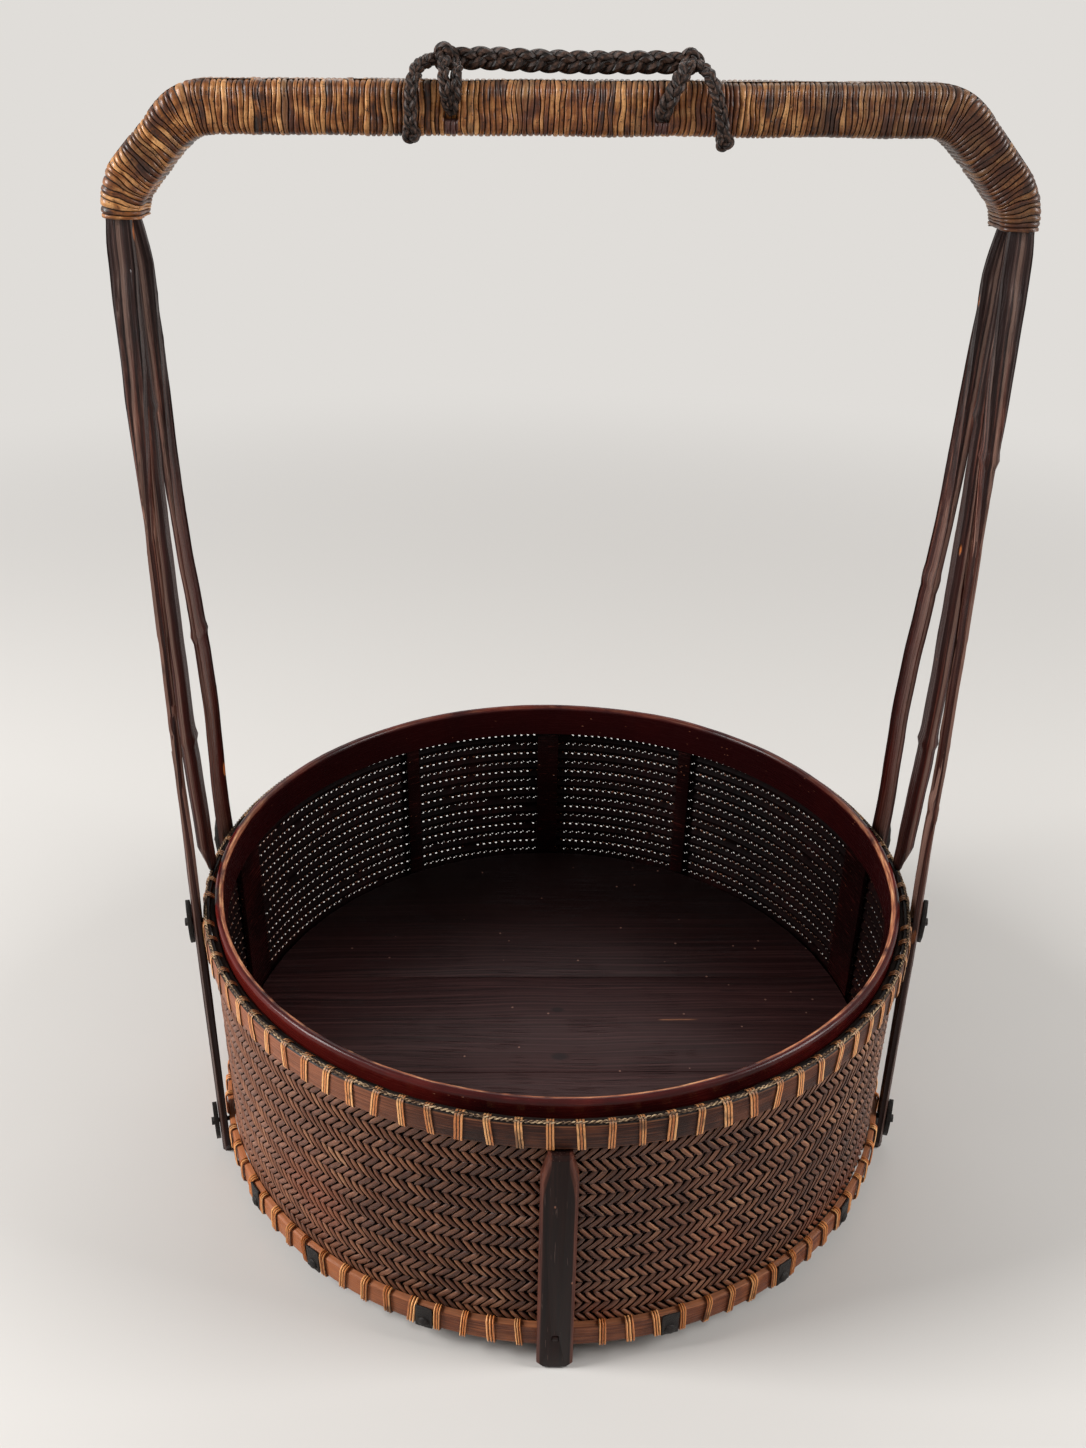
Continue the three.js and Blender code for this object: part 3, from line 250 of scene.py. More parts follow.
# %% Lacquer
def make_lacquer(name, dark, mid, light):
    f = Finish(name)
    along, up, away = f.ring(183)
    p = f.point(along * 0.05, up * 0.6, away * 0.6)
    cloud = f.place.noise(0.03, 4)
    fine = p.noise(1.6, 4, 0.6)
    f.base = (cloud * 0.8 + fine * 0.25).ramp((0.3, dark), (0.52, mid), (0.8, light))
    f.paint(fine.between(0.6, 0.75) * 0.5, (96, 40, 32))
    # Painted highlight: the outer face is painted lighter at the left, where the light falls.
    f.paint(away.between(182.2, 182.9) * f.x.between(-40, -150) * 0.6, light)
    # Painted shade: the inner face below the lip is painted darker, where shade falls inside the collar.
    inner = away.between(180.2, 179.4) * up.between(LIP_TOP_Z - 1, LIP_TOP_Z - 3)
    f.paint(inner * 0.9, dark)
    # The light line along the inner edge of the lip is partly real wear and partly a painted highlight, and
    # it fades towards the back.
    wandering = up + (p.noise(0.9, 5, 0.65) - 0.5) * 1.4 + (cloud - 0.5) * 2.4
    worn = wandering.between(LIP_TOP_Z - 1.7, LIP_TOP_Z - 1.0) * away.between(181.5, 180.8)
    worn = worn * cloud.between(0.38, 0.5) * (1 - f.y.between(0, 80) * 0.9)
    f.paint(worn, fine.ramp((0.34, (104, 50, 36)), (0.54, (172, 108, 76)), (0.74, (230, 182, 134))))
    chip = f.place.stretched(1, 1, 2.5).cells(0.16).between(0.11, 0.07)
    chip = chip * f.place.noise(0.05, 2).between(0.56, 0.62)
    f.paint(chip, (140, 84, 58))
    rough = fine.between(0.2, 0.9) * 0.16 + 0.2 + worn * 0.25
    height = fine + p.noise(6, 2) * 0.3 - chip * 1.5
    return f.surface(rough, height, 0.08, specular=0.16, coat=(0.05, 0.08))


collar_finish = make_lacquer("red_lacquer", (30, 5, 6), (58, 12, 11), (96, 25, 19))
# The stiles get a much darker copy of the same lacquer: painted shade, as they stand inside the wall.
stile_shaded_lacquer = make_lacquer("stile_lacquer_painted_shade", (8, 2, 2), (20, 4, 4), (42, 9, 8))

# %% [markdown]
# The handle's legs are dark purple-brown lacquer over split bamboo, whose long fibres show as lines.
# The lacquer has worn reddish on the ridges and has chipped to orange in a few places. A painted
# highlight runs down the middle of each strip, and its edges are painted dark as shade. The pattern
# is laid along each leg by an attribute, because the legs lean: millimetres from the leg's own
# middle, then up.

# %% Leg finish
f = Finish("leg_lacquer")
g = f.wire.node("Attribute", {"attribute_name": "grain"}, out="Vector")
streak = g.stretched(1, 1, 0.01).noise(0.6, 5, 0.6)
hair = g.stretched(1, 1, 0.012).noise(1.9, 3, 0.6)
cloud = g.stretched(0.6, 0.6, 0.5).noise(0.035, 3)
rear = f.y.between(-4, 50)
low = f.z.between(430, 250)
f.base = streak.ramp((0.36, (12, 6, 6)), (0.48, (48, 24, 19)), (0.58, (98, 56, 44)),
                     (0.7, (164, 120, 102)))
f.paint(cloud.between(0.42, 0.62) * (0.25 + rear * 0.45 + low * 0.3), (76, 26, 19))
f.paint(f.z.between(440, 340) * (0.25 + rear * 0.3), (64, 19, 14))
# Greyer and darker towards the top, by the wrap, with pale grey streaks.
greyer_top = streak.ramp((0.4, (16, 12, 12)), (0.58, (66, 56, 53)), (0.72, (150, 140, 133)))
f.paint(f.z.between(390, 460) * 0.65, greyer_top)
# Painted highlight: a pale streak down the middle of each strip. Painted shade: the strip's edges are painted
# dark.
from_middle = abs(g.axes()[0] + (streak - 0.5) * 4)
f.paint(from_middle.between(1.4, 0.3) * (0.42 - rear * 0.28), (158, 126, 112))
f.paint(from_middle.between(1.3, 2.9) * 0.7, (28, 9, 7))
f.paint(hair.between(0.58, 0.7) * 0.75, (16, 9, 10))
amber = streak.between(0.6, 0.72) * g.stretched(1, 1, 0.3).noise(0.05, 2).between(0.52, 0.62)
f.paint(amber * (0.25 + rear * 0.5), (126, 66, 40))
chip = g.stretched(1, 1, 0.3).cells(0.085).between(0.14, 0.1) * cloud.between(0.5, 0.54)
f.paint(chip, (196, 112, 58))
f.paint(f.z.between(200, 130) * 0.7, (30, 14, 11))
height = streak * 1.6 + hair * 0.7 - chip * 1.5
leg_finish = f.surface(hair * 0.25 + 0.2, height, 0.7, specular=0.16, coat=(0.06, 0.12))

# %% [markdown]
# The outer hoops are planed bamboo strips bent round the wall. Their fibres run round the hoop, and
# the varnish is thin: brown, with rubbed lighter edges. They are painted lighter at the left, as a
# painted highlight where the light falls.

# %% Hoop finish
def make_hoop(name, dark, mid, light, left_highlight, middle_z, half_height):
    f = Finish(name)
    along, up, away = f.ring(190)
    fibre = f.point(along * 0.03, up, away).noise(1.3, 5, 0.6)
    hair = f.point(along * 0.015, up, away).noise(5, 3, 0.6)
    patch = f.point(along * 0.035, up * 0.05, 0).noise(1, 3)
    from_middle = up - middle_z
    f.base = fibre.ramp((0.3, dark), (0.52, mid), (0.72, light))
    f.paint(patch.between(0.5, 0.68) * 0.6, light)
    f.paint(patch.between(0.46, 0.32) * 0.7, dark)
    f.paint(hair.between(0.58, 0.7) * 0.6, dark)
    rubbed = (abs(from_middle) + fibre * 1.5).between(half_height + 0.1, half_height + 0.9)
    f.paint(rubbed * 0.5, (150, 98, 66))
    # Painted highlight: the hoop is painted lighter at the left, where the light falls.
    f.paint(f.x.between(-40, -130) * 0.7, fibre.ramp((0.3, light), (0.6, left_highlight)))
    f.paint(from_middle.between(6.3, 6.8), (20, 12, 9))
    return f.surface(hair * 0.3 + 0.26, fibre + hair * 0.6, 0.25, specular=0.18)


top_hoop_finish = make_hoop("top_hoop_bamboo", (26, 10, 6), (60, 28, 17), (110, 61, 39), (172, 108, 78),
                            middle_z=146.8, half_height=6.4)
low_hoop_finish = make_hoop("bottom_hoop_bamboo", (52, 22, 12), (110, 57, 33), (164, 98, 58),
                            (176, 106, 66), middle_z=18.4, half_height=6)

# %% [markdown]
# Each strand of the twined wall is a narrow split of bamboo, stained brown. No two have the same
# tint, so the colour starts from the Random Per Island output, which gives every strand a number.
# On top of that come a painted highlight along each strand, painted shade at its edges and ends,
# and painted light at the left. The rising strands get a darker copy, as painted shade.

# %% Weave finish
def make_weave(name, dark, mid, light, pale, rough):
    f = Finish(name)
    u, v = f.uv()
    one = f.island()
    fibre = f.point(u * 0.5 + one * 37, v * 4, one * 9).noise(2.2, 4, 0.6)
    tint = one * 0.28 + fibre * 0.45 + f.place.noise(0.022, 3) * 0.45 + 0.06
    f.base = tint.ramp((0.38, dark), (0.58, mid), (0.78, light), (1.0, pale))
    edge = abs(v - 0.5)
    # Painted highlight: a pale line along each strand, just inside its long edges.
    f.paint(edge.between(0.26, 0.36) * edge.between(0.46, 0.4) * fibre.between(0.45, 0.6) * 0.5, pale)
    # Painted shade: each strand darkens at its long edges, where it meets its neighbours, and at its ends,
    # where it tucks under them.
    f.paint(edge.between(0.38, 0.48), (22, 12, 9))
    f.paint(abs(u - 0.5).between(0.36, 0.5) * 0.65, (30, 17, 13))
    warm = (f.place.noise(0.012, 2) - 0.5) * f.z.between(120, 20)
    f.paint(warm.between(0.02, 0.16) * 0.7, (116, 58, 34))
    # Painted light: the wall is painted lighter at the left, where the light falls.
    f.paint(f.x.between(-60, -165) * 0.26, (164, 112, 90))
    return f.surface(fibre * 0.25 + rough, fibre, 0.25, specular=0.3)


# Two copies of one bamboo: the rising strands' copy is darker as painted shade, the falling strands' copy
# lighter as painted light.
shaded_rising_weave = make_weave("rising_bamboo_shaded", (48, 24, 15), (78, 44, 30), (112, 71, 51), (172, 126, 96), 0.26)
lit_falling_weave = make_weave("falling_bamboo_lit", (60, 31, 19), (94, 54, 36), (130, 83, 58), (190, 144, 106), 0.3)

# %% [markdown]
# The wall's inner face lies in shade. Its nearly black colour is painted shade, with a trace of red
# lacquer. A dull surface with slanting streaks stands for the inner strands.

# %% Lining finish
f = Finish("dark_lining_painted_shade")
along, up, away = f.ring(184)
slant = f.point(along * 0.25 + up * 0.14, up * 0.14, 0).noise(1, 2)
tint = slant * 0.5 + f.place.noise(0.02, 3) * 0.6
# Painted shade: the lining is coloured nearly black.
f.base = tint.ramp((0.4, (4, 1, 1)), (0.6, (14, 3, 3)), (0.8, (34, 8, 7)))
lining_shade_finish = f.surface(slant * 0.3 + 0.5, slant, 0.4, specular=0.06)

# %% [markdown]
# Cane is the shiny outer skin of rattan. New it is amber; handled for years it goes brown and grey.
# One finish serves the lashings, one the cord on the rim, and one the handle's wrap. There each turn
# gets its own tint, from the whole part of the UV that counts turns, and two notches on the front,
# where the rope's ends go in, are as dull as the wood below.

# %% Cane finishes
f = Finish("tie_cane")
u, v = f.uv()
one = f.island()
fibre = f.point(u * 3, v * 0.3, one * 50).noise(2, 4, 0.6)
tint = one * 0.35 + fibre * 0.6
f.base = tint.ramp((0.24, (126, 66, 30)), (0.4, (206, 124, 66)), (0.64, (246, 182, 118)))
f.paint(f.place.noise(0.06, 4, 0.6).between(0.56, 0.68) * 0.75, (78, 50, 34))
f.paint(f.z.between(152.6, 154.2) * 0.6, (112, 84, 60))
# Painted shade: each cane strand darkens at its edges, where it meets the next.
f.paint(abs(u - 0.5).between(0.36, 0.48), (44, 24, 12))
tie_cane = f.surface(fibre * 0.2 + 0.28, fibre, 0.15, specular=0.35)

NOTCHES, NOTCH_HALF_WIDTH = (-51.4, 34.4), 3.0
f = Finish("wrap_cane")
u, turns = f.uv()
turn_id = turns.maths("FLOOR", turns)
across = turns - turn_id
pick = f.wire.node("TexWhiteNoise", {"noise_dimensions": "1D"}, {"W": turn_id})
fibre = f.point(u * 6, across * 1.5, turn_id * 3.7).noise(1.6, 4, 0.65)
long_stain = f.point(u * 7, turn_id * 0.3, 0).noise(1, 4, 0.6)
tint = pick * 0.18 + fibre * 0.42 + long_stain * 0.62
f.base = tint.ramp((0.43, (24, 11, 5)), (0.52, (82, 42, 15)), (0.61, (144, 87, 39)),
                   (0.76, (224, 166, 106)))
f.paint(pick.between(0.88, 0.92) * long_stain.between(0.4, 0.5) * 0.6, (60, 34, 22))
f.paint(f.point(turn_id * 0.13, 0, 0).noise(1, 2).between(0.54, 0.62) * 0.6, (50, 27, 17))
f.paint(f.place.noise(0.03, 3).between(0.48, 0.62) * 0.3, (116, 60, 36))
f.paint(f.place.noise(0.75, 3, 0.7).between(0.58, 0.68) * 0.9, (34, 18, 12))
top = (f.z + (f.place.noise(0.3, 3) - 0.5) * 6).between(541.5, 545.5)
f.paint(top * 0.7, fibre.ramp((0.3, (52, 42, 36)), (0.7, (140, 114, 88))))
bend = abs(f.x).between(150, 165) * f.place.noise(0.08, 2).between(0.5, 0.66)
f.paint(bend * 0.6, (70, 38, 26))
f.paint(f.x.between(40, 150) * 0.62, (46, 23, 12))
# Painted shade: the groove between two turns is painted dark.
groove = abs(across - 0.5)
f.paint(groove.between(0.34, 0.47), (20, 9, 5))
left, right = [abs(f.x - x).between(NOTCH_HALF_WIDTH, NOTCH_HALF_WIDTH - 0.3) for x in NOTCHES]
f.paint((left + right) * f.z.between(533.6, 533.2) * f.y.between(-9.9, -10.6), (84, 52, 46))
rough = fibre * 0.25 + 0.16 + groove * 0.6
wrap_cane = f.surface(rough, fibre, 0.25, specular=0.3, coat=(0.1, 0.12))

f = Finish("edging_cane")
along, up, away = f.ring(189)
worn = f.point(along * 0.12, up, away).noise(1, 4, 0.65)
f.base = worn.ramp((0.36, (34, 22, 16)), (0.5, (84, 62, 46)), (0.62, (196, 168, 132)))
edging_cane = f.surface(worn * 0.3 + 0.4, worn, 0.2, specular=0.2)

# %% [markdown]
# The floor is three lacquered planks. The softwood's grain has sunk into open lines from left to
# right, and there are two knots and a pale scratch. The front is painted lighter as painted light,
# and the back nearly black as the painted shade of the back wall.

# %% Plank finish
f = Finish("lacquered_plank")
bend = f.place.stretched(0.004, 0.01, 0).noise(1, 2) * 20
lines = f.point(f.x * 0.006, f.y + bend, 0).noise(0.6, 6, 0.7)
hair = f.point(f.x * 0.012, f.y + bend, 0).noise(1.9, 3, 0.6)
f.base = lines.ramp((0.35, (20, 7, 8)), (0.5, (46, 22, 22)), (0.64, (74, 46, 45)))
# Painted light at the front, and painted shade, nearly black, at the back, under the back wall.
f.paint(f.y.between(60, -150) * 0.65, (70, 44, 42))
f.paint(f.y.between(10, 140) * 0.9, (8, 2, 2))
open_grain = hair.between(0.54, 0.68) * f.place.noise(0.03, 2).between(0.4, 0.54)
f.paint(open_grain * 0.85, (18, 8, 10))


def eye(x, y, size):
    """1 inside a knot, which is longer from left to right."""
    away = ((f.x - x) * (f.x - x) * 0.35 + (f.y - y) * (f.y - y)) ** 0.5
    return away.between(size, size * 0.4)


knots = eye(3, -28, 4) + eye(3, 12, 3)
f.paint(knots * 0.8, (22, 10, 12))
f.paint(f.place.cells(0.07).between(0.055, 0.035), (132, 96, 84))
scratch = abs(f.y - 3 - f.x * 0.01 + hair).between(0.8, 0.3)
f.paint(scratch * f.x.between(62, 66) * f.x.between(88, 80), (140, 92, 66))
height = hair * 0.4 - open_grain - knots * 0.6
plank_finish = f.surface(hair * 0.2 + 0.36 + open_grain * 0.3, height, 0.12, specular=0.16)

# %% [markdown]
# Four smaller finishes are left. The feet are lacquered like the legs, with lighter red sides that
# follow their necked outline: partly wear, partly a painted highlight. The iron is black and pitted.
# The rim's filler is dull dark bamboo, painted darker still as the shade in the gap behind the hoop.
# The rope's strands show their own twist, which comes from the fraction of a slanting UV, and each
# ply is painted lighter along its crown and dark where it meets the next, as painted light and shade.

# %% Foot, iron, filler and rope finishes
f = Finish("foot_lacquer")
streak = f.place.stretched(1, 1, 0.03).noise(0.6, 4, 0.6)
f.base = streak.ramp((0.3, (20, 9, 8)), (0.6, (33, 17, 14)), (0.8, (50, 29, 25)))
# The sides along the necked outline are painted lighter and redder: partly wear, partly a painted highlight
# on the edges.
across = abs(f.x - f.y * 0.0209)
half_width = 8.65 - f.z.between(112, 136) * 3.15
side = (across - half_width + streak * 0.8).between(-1.6, -0.7)
f.paint(side * 0.45, streak.ramp((0.3, (66, 30, 24)), (0.7, (132, 76, 58))))
mark = f.place.stretched(1, 1, 0.6).cells(0.13).between(0.08, 0.045)
f.paint(mark, (142, 96, 78))
f.paint(f.place.stretched(1, 1, 0.05).noise(1.2, 2).between(0.68, 0.72) * 0.5, (104, 82, 76))
foot_finish = f.surface(streak * 0.2 + 0.3, streak - mark, 0.2, specular=0.12)

f = Finish("black_iron")
pit = f.place.noise(0.9, 5, 0.65)
f.base = pit.ramp((0.35, (16, 14, 13)), (0.6, (36, 31, 29)), (0.78, (78, 60, 48)))
iron = f.surface(pit * 0.4 + 0.32, pit, 0.5, specular=0.3, metallic=0.3)

f = Finish("rim_filler")
along, up, away = f.ring(186)
p = f.point(along * 0.12, up, away).noise(1, 4, 0.6)
# Dull dark bamboo, painted darker still as the shade in the gap behind the hoop.
f.base = p.ramp((0.35, (14, 10, 8)), (0.6, (34, 25, 20)), (0.8, (66, 52, 42)))
filler_shade_finish = f.surface(p * 0.3 + 0.6, p, 0.4, specular=0.15)

f = Finish("dark_rope")
u, v = f.uv()
lay = u * 3 + v * 0.3
ply = abs(lay.maths("FRACT", lay) - 0.5)
fuzz = f.place.noise(1.1, 3, 0.6)
# Painted light and shade: each ply is painted lighter along its crown and dark where it meets the next.
tint = fuzz * 0.7 + (0.5 - ply) * 0.5 + f.place.noise(0.12, 2) * 0.25
f.base = tint.ramp((0.4, (12, 6, 4)), (0.6, (36, 23, 17)), (0.85, (90, 66, 54)))
f.paint(ply.between(0.38, 0.5), (14, 8, 5))
rope_finish = f.surface(fuzz * 0.2 + 0.42, fuzz * 0.3 - ply.between(0.3, 0.5), 0.35, specular=0.25)

# %% [markdown]
# All meshes are worked out in millimetres and shrunk to metres at the end. The helper below does
# that, sets smooth shading with sharp edges past an angle, and hides the solids that the new piece
# stands in for.

# %% Piece helper
def piece(bm, name, finish, replaces=(), sharp=35):
    bmesh.ops.scale(bm, vec=(MM, MM, MM), verts=bm.verts[:])
    for edge in bm.edges:
        edge.smooth = edge.calc_face_angle(0) < math.radians(sharp)
    for face in bm.faces:
        face.smooth = True
    mesh = bpy.data.meshes.new(name)
    triangles = sum(len(face.verts) - 2 for face in bm.faces)
    bm.to_mesh(mesh)
    bm.free()
    mesh.materials.append(finish)
    made = show(bpy.data.objects.new(name, mesh))
    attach(made, "root")
    if replaces:
        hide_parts(*replaces)
    print(f"{name}: {triangles} triangles")
    return made


# %% [markdown]
# A few shapes come back often: a grid laid on a surface, a closed profile spun round the basket, and
# a piece copied round it at equal angles. Each gets a helper built on one bmesh operator.

# %% Mesh helpers
def everything(bm):
    return bm.verts[:] + bm.edges[:] + bm.faces[:]


def face_outwards(bm):
    bmesh.ops.recalc_face_normals(bm, faces=bm.faces[:])


def uv_of(bm):
    return bm.loops.layers.uv.get("UVMap") or bm.loops.layers.uv.new("UVMap")


def laid(bm, columns, rows, place, uv):
    """A grid of columns by rows faces. Each vertex moves to place(u, v), with u and v from 0 to 1."""
    layer = uv_of(bm)
    verts = bmesh.ops.create_grid(bm, x_segments=columns, y_segments=rows, size=0.5)["verts"]
    at = {vert: (vert.co.x + 0.5, vert.co.y + 0.5) for vert in verts}
    for face in {face for vert in verts for face in vert.link_faces}:
        for loop in face.loops:
            loop[layer].uv = uv(*at[loop.vert])
    for vert, (u, v) in at.items():
        vert.co = place(u, v)
    return verts


def closed_up(bm, verts, distance=0.01):
    """Joins a grid's two sides where they meet and fills its open ends."""
    bmesh.ops.remove_doubles(bm, verts=verts, dist=distance)
    left = [vert for vert in verts if vert.is_valid]
    rim = [edge for edge in {e for vert in left for e in vert.link_edges} if edge.is_boundary]
    bmesh.ops.holes_fill(bm, edges=rim, sides=0)


def turned(profile):
    """A closed profile of (radius, height) points spun round the basket's axis."""
    bm = bmesh.new()
    verts = [bm.verts.new((0, -r, z)) for r, z in profile]
    edges = [bm.edges.new((a, b)) for a, b in zip(verts, verts[1:] + verts[:1])]
    bmesh.ops.spin(bm, geom=verts + edges, cent=(0, 0, 0), axis=(0, 0, 1), angle=2 * math.pi,
                   steps=288, use_merge=True)
    bmesh.ops.remove_doubles(bm, verts=bm.verts[:], dist=0.001)
    face_outwards(bm)
    return bm


def copied_round(bm, count):
    """Sets copies of the mesh round the basket's axis, so that there are count of them."""
    bmesh.ops.spin(bm, geom=everything(bm), cent=(0, 0, 0), axis=(0, 0, 1),
                   angle=2 * math.pi * (count - 1) / count, steps=count - 1, use_duplicate=True)


def wander(bm, size, amount):
    """Moves every vertex a little, so that neighbours a size apart move alike."""
    for vert in bm.verts:
        vert.co += noise.noise_vector(vert.co / size) * amount


def distances(points):
    """How far along a line each of its points lies."""
    marks = [0.0]
    for a, b in zip(points, points[1:]):
        marks.append(marks[-1] + (b - a).length)
    return marks


# %% [markdown]
# The lacquered collar stands inside the rim. Its section is a strip with a swollen, rounded lip. One
# spin makes it, and a slow wander keeps the lip from looking machined.

# %% Collar
lip = [(183.3, 156.5), (183.5, 158.4), (183.4, 159.8), (182.9, 160.7), (182.1, LIP_TOP_Z), (181.0, LIP_TOP_Z),
       (180.0, 160.8), (179.3, 159.8), (179.0, 158.2)]
bm = turned([(COLLAR_INNER_R, TOP_HOOP_Z), (COLLAR_OUTER_R, TOP_HOOP_Z), (COLLAR_OUTER_R, 151)] + lip)
for vert in bm.verts:
    if vert.co.z > RIM_Z:
        vert.co.z += noise.noise(vert.co / 55) * 0.5
        vert.co += noise.noise_vector(vert.co / 9) * 0.12
piece(bm, "collar", collar_finish, ["lacquered_collar"])

# %% [markdown]
# The two outer hoops are flat strips whose upper edge is rounded off inwards. Their section is spun
# too, and wanders in and out a little, as split bamboo does. The filler lies in the groove behind.

# %% Outer hoops and rim filler
def hoop(bottom, top, ease, name, node, finish):
    inner, outer = HOOP_INNER_R, HOOP_OUTER_R
    profile = [(inner, bottom), (outer - 0.8, bottom), (outer - 0.2, bottom + 0.25), (outer, bottom + 0.8),
               (outer + 0.1, (bottom + top) / 2), (outer, top - ease), (outer - 0.35, top - ease * 0.55),
               (outer - 1.2, top - ease * 0.2), (inner, top - 0.1)]
    ring = turned(profile)
    wander(ring, 24, 0.16)
    piece(ring, name, finish, [node])


hoop(TOP_HOOP_Z, RIM_Z - 0.6, 1.5, "top_hoop", "outer_top_hoop", top_hoop_finish)
hoop(BOTTOM_HOOP_Z, BOTTOM_HOOP_TOP_Z, 0.9, "bottom_hoop", "outer_bottom_hoop", low_hoop_finish)
bm = turned([(183.4, 148), (186.5, 148), (186.5, 152.6), (185.9, 152.9), (184.6, 152.6), (183.9, 152.0)])
wander(bm, 4, 0.35)
piece(bm, "filler", filler_shade_finish, ["rim_filler"])

# %% [markdown]
# The wall is twined: strands lean one way in one row and the other way in the next, which makes the
# herringbone. A rising strand is broad, flat and a little proud. A falling one is slimmer and rounder.
# Both are about as long as a row is high, and their narrowed ends leave slits between the rows. Each
# starts as a six-sided bar that is cut across and then shaped, leaned and bent outwards. Copies of it
# go round the basket, and the row is copied upwards.

# %% Twined strands
ROW = 7.15
STRANDS = 264
ROWS_OF_EACH = 9
FIRST_DOTS_Z = 43.9
FIRST_BOUNDARY_Z = FIRST_DOTS_Z - 0.45


def strand_rows(first_row, seed, half_length, half_width, half_thick, lean, tip, middle_r, proud, tilt):
    bm = bmesh.new()
    layer = uv_of(bm)
    bmesh.ops.create_cone(bm, cap_ends=True, segments=6, radius1=1, radius2=1, depth=2)
    for cut in (-0.72, -0.3, 0.3, 0.72):
        bmesh.ops.bisect_plane(bm, geom=everything(bm), plane_co=(0, 0, cut), plane_no=(0, 0, 1))
    for face in bm.faces:
        for loop in face.loops:
            loop[layer].uv = (loop.vert.co.z / 2 + 0.5, loop.vert.co.x / 2 + 0.5)
    for vert in bm.verts:
        x, y, reach = vert.co
        narrow = 1 - (1 - tip) * abs(reach) ** 1.8
        z = reach * half_length
        vert.co.x = x * half_width * narrow + lean * z + 0.35 * lean * reach * (1 - reach * reach)
        vert.co.y = y * half_thick * (1 - 0.45 * reach * reach) + x * tilt * narrow
        vert.co.y -= middle_r + proud * (1 - reach * reach)
        vert.co.z = z + FIRST_BOUNDARY_Z + (first_row + 0.5) * ROW
    copied_round(bm, STRANDS)
    ring = everything(bm)
    for row in range(1, ROWS_OF_EACH):
        copy = bmesh.ops.duplicate(bm, geom=ring)["geom"]
        moved = [part for part in copy if isinstance(part, bmesh.types.BMVert)]
        bmesh.ops.translate(bm, vec=(0, 0, 2 * row * ROW), verts=moved)
    for vert in bm.verts:
        place = vert.co + Vector((seed, 0, 0))
        vert.co += noise.noise_vector(place / 11) * 0.3 + noise.noise_vector(place / 2.6) * 0.2
    return bm


rising = strand_rows(-2, 0, half_length=3.8, half_width=2.16, half_thick=0.6, lean=0.84, tip=0.62,
                     middle_r=185.65, proud=0.25, tilt=0.16)
piece(rising, "rising_strands", shaded_rising_weave, sharp=75)
falling = strand_rows(-3, 90, half_length=3.75, half_width=1.74, half_thick=0.8, lean=-0.8, tip=0.56,
                      middle_r=185.6, proud=0.2, tilt=-0.02)
piece(falling, "falling_strands", lit_falling_weave, sharp=75)

# %% [markdown]
# From inside, the wall is dark and pricked with rows of light where two rows meet. The lining is one
# thin grid that swells between those rows. The faces where light comes through are deleted, and the
# strands outside leave a slit there. A few dots are closed by chance, as in the real wall.

# %% Lining with its rows of light
DOTS, DOT_ROWS = 528, 14
DOT_HALF_HEIGHT, DOT_DEGREES = 0.85, 0.42
levels = [(BOTTOM_HOOP_Z, 184.4), (40.3, 184.4)]
for row in range(DOT_ROWS):
    z = FIRST_DOTS_Z + row * ROW
    levels += [(z - DOT_HALF_HEIGHT, 185.0), (z, 185.1), (z + DOT_HALF_HEIGHT, 185.0), (z + ROW / 2, 183.8)]
levels[-1] = (151.2, 184.4)
COLUMNS, BANDS = 2 * DOTS, len(levels) - 1
bm = bmesh.new()
uv_of(bm)
verts = bmesh.ops.create_grid(bm, x_segments=COLUMNS, y_segments=BANDS, size=0.5)["verts"]
holes = []
for face in bm.faces:
    centre = face.calc_center_median()
    column, band = int((centre.x + 0.5) * COLUMNS), int((centre.y + 0.5) * BANDS)
    dot, row, part = column // 2, (band - 2) // 4, (band - 2) % 4
    closed = noise.noise((dot * 0.13, row * 3.1, 0)) > 0.5 or noise.noise((dot * 0.9, row * 7.3, 5)) > 0.6
    if band > 1 and column % 2 == 0 and part == (1 if dot % 2 else 0) and not closed:
        holes.append(face)
for vert in verts:
    column, level = round((vert.co.x + 0.5) * COLUMNS), round((vert.co.y + 0.5) * BANDS)
    z, radius = levels[level]
    vert.co = around(radius, (column // 2) * 360 / DOTS + (DOT_DEGREES if column % 2 else 0), z)
bmesh.ops.delete(bm, geom=holes, context="FACES")
bmesh.ops.remove_doubles(bm, verts=bm.verts[:], dist=0.01)
bm.faces.ensure_lookup_table()
bm.normal_update()
if bm.faces[0].normal.dot(bm.faces[0].calc_center_median()) > 0:
    bmesh.ops.reverse_faces(bm, faces=bm.faces[:])
piece(bm, "wall_lining", lining_shade_finish, ["woven_wall"])
print("holes in the lining:", len(holes))

# %% [markdown]
# The rim and the bottom hoop are lashed with cane. A tie is three narrow strands side by side that go
# over the hoop, down its face and under it. One tie is made, copies of it go round, and those that
# would cross a leg or a foot are taken out. Each then leans and spreads by its own small chance.

# %% Cane ties
def strip(bm, path, width, thick, sideways):
    """A half-round strip along a path of (radius, height) points at the front of the basket."""
    path = [Vector((0, -r, z)) for r, z in path]
    n = len(path) - 1
    section = [(-0.5, 0), (-0.42, 0.6), (0, 1), (0.42, 0.6), (0.5, 0), (0, -0.1)]
    lengths = distances(path)

    def place(u, v):
        i = round(v * n)
        run = (path[min(i + 1, n)] - path[max(i - 1, 0)]).normalized()
        out = Vector((1, 0, 0)).cross(run)
        x, lift = section[round(u * 6) % 6]
        return path[i] + Vector((x * width + sideways, 0, 0)) + out * (lift * thick)
    verts = laid(bm, 6, n, place, lambda u, v: (section[round(u * 6) % 6][0] + 0.5, lengths[round(v * n)]))
    closed_up(bm, verts)


TIES, TIE_ANGLE = 90, 4
CANE_WIDTH, CANE_THICK, CANE_SPACING = 1.1, 0.95, 1.38


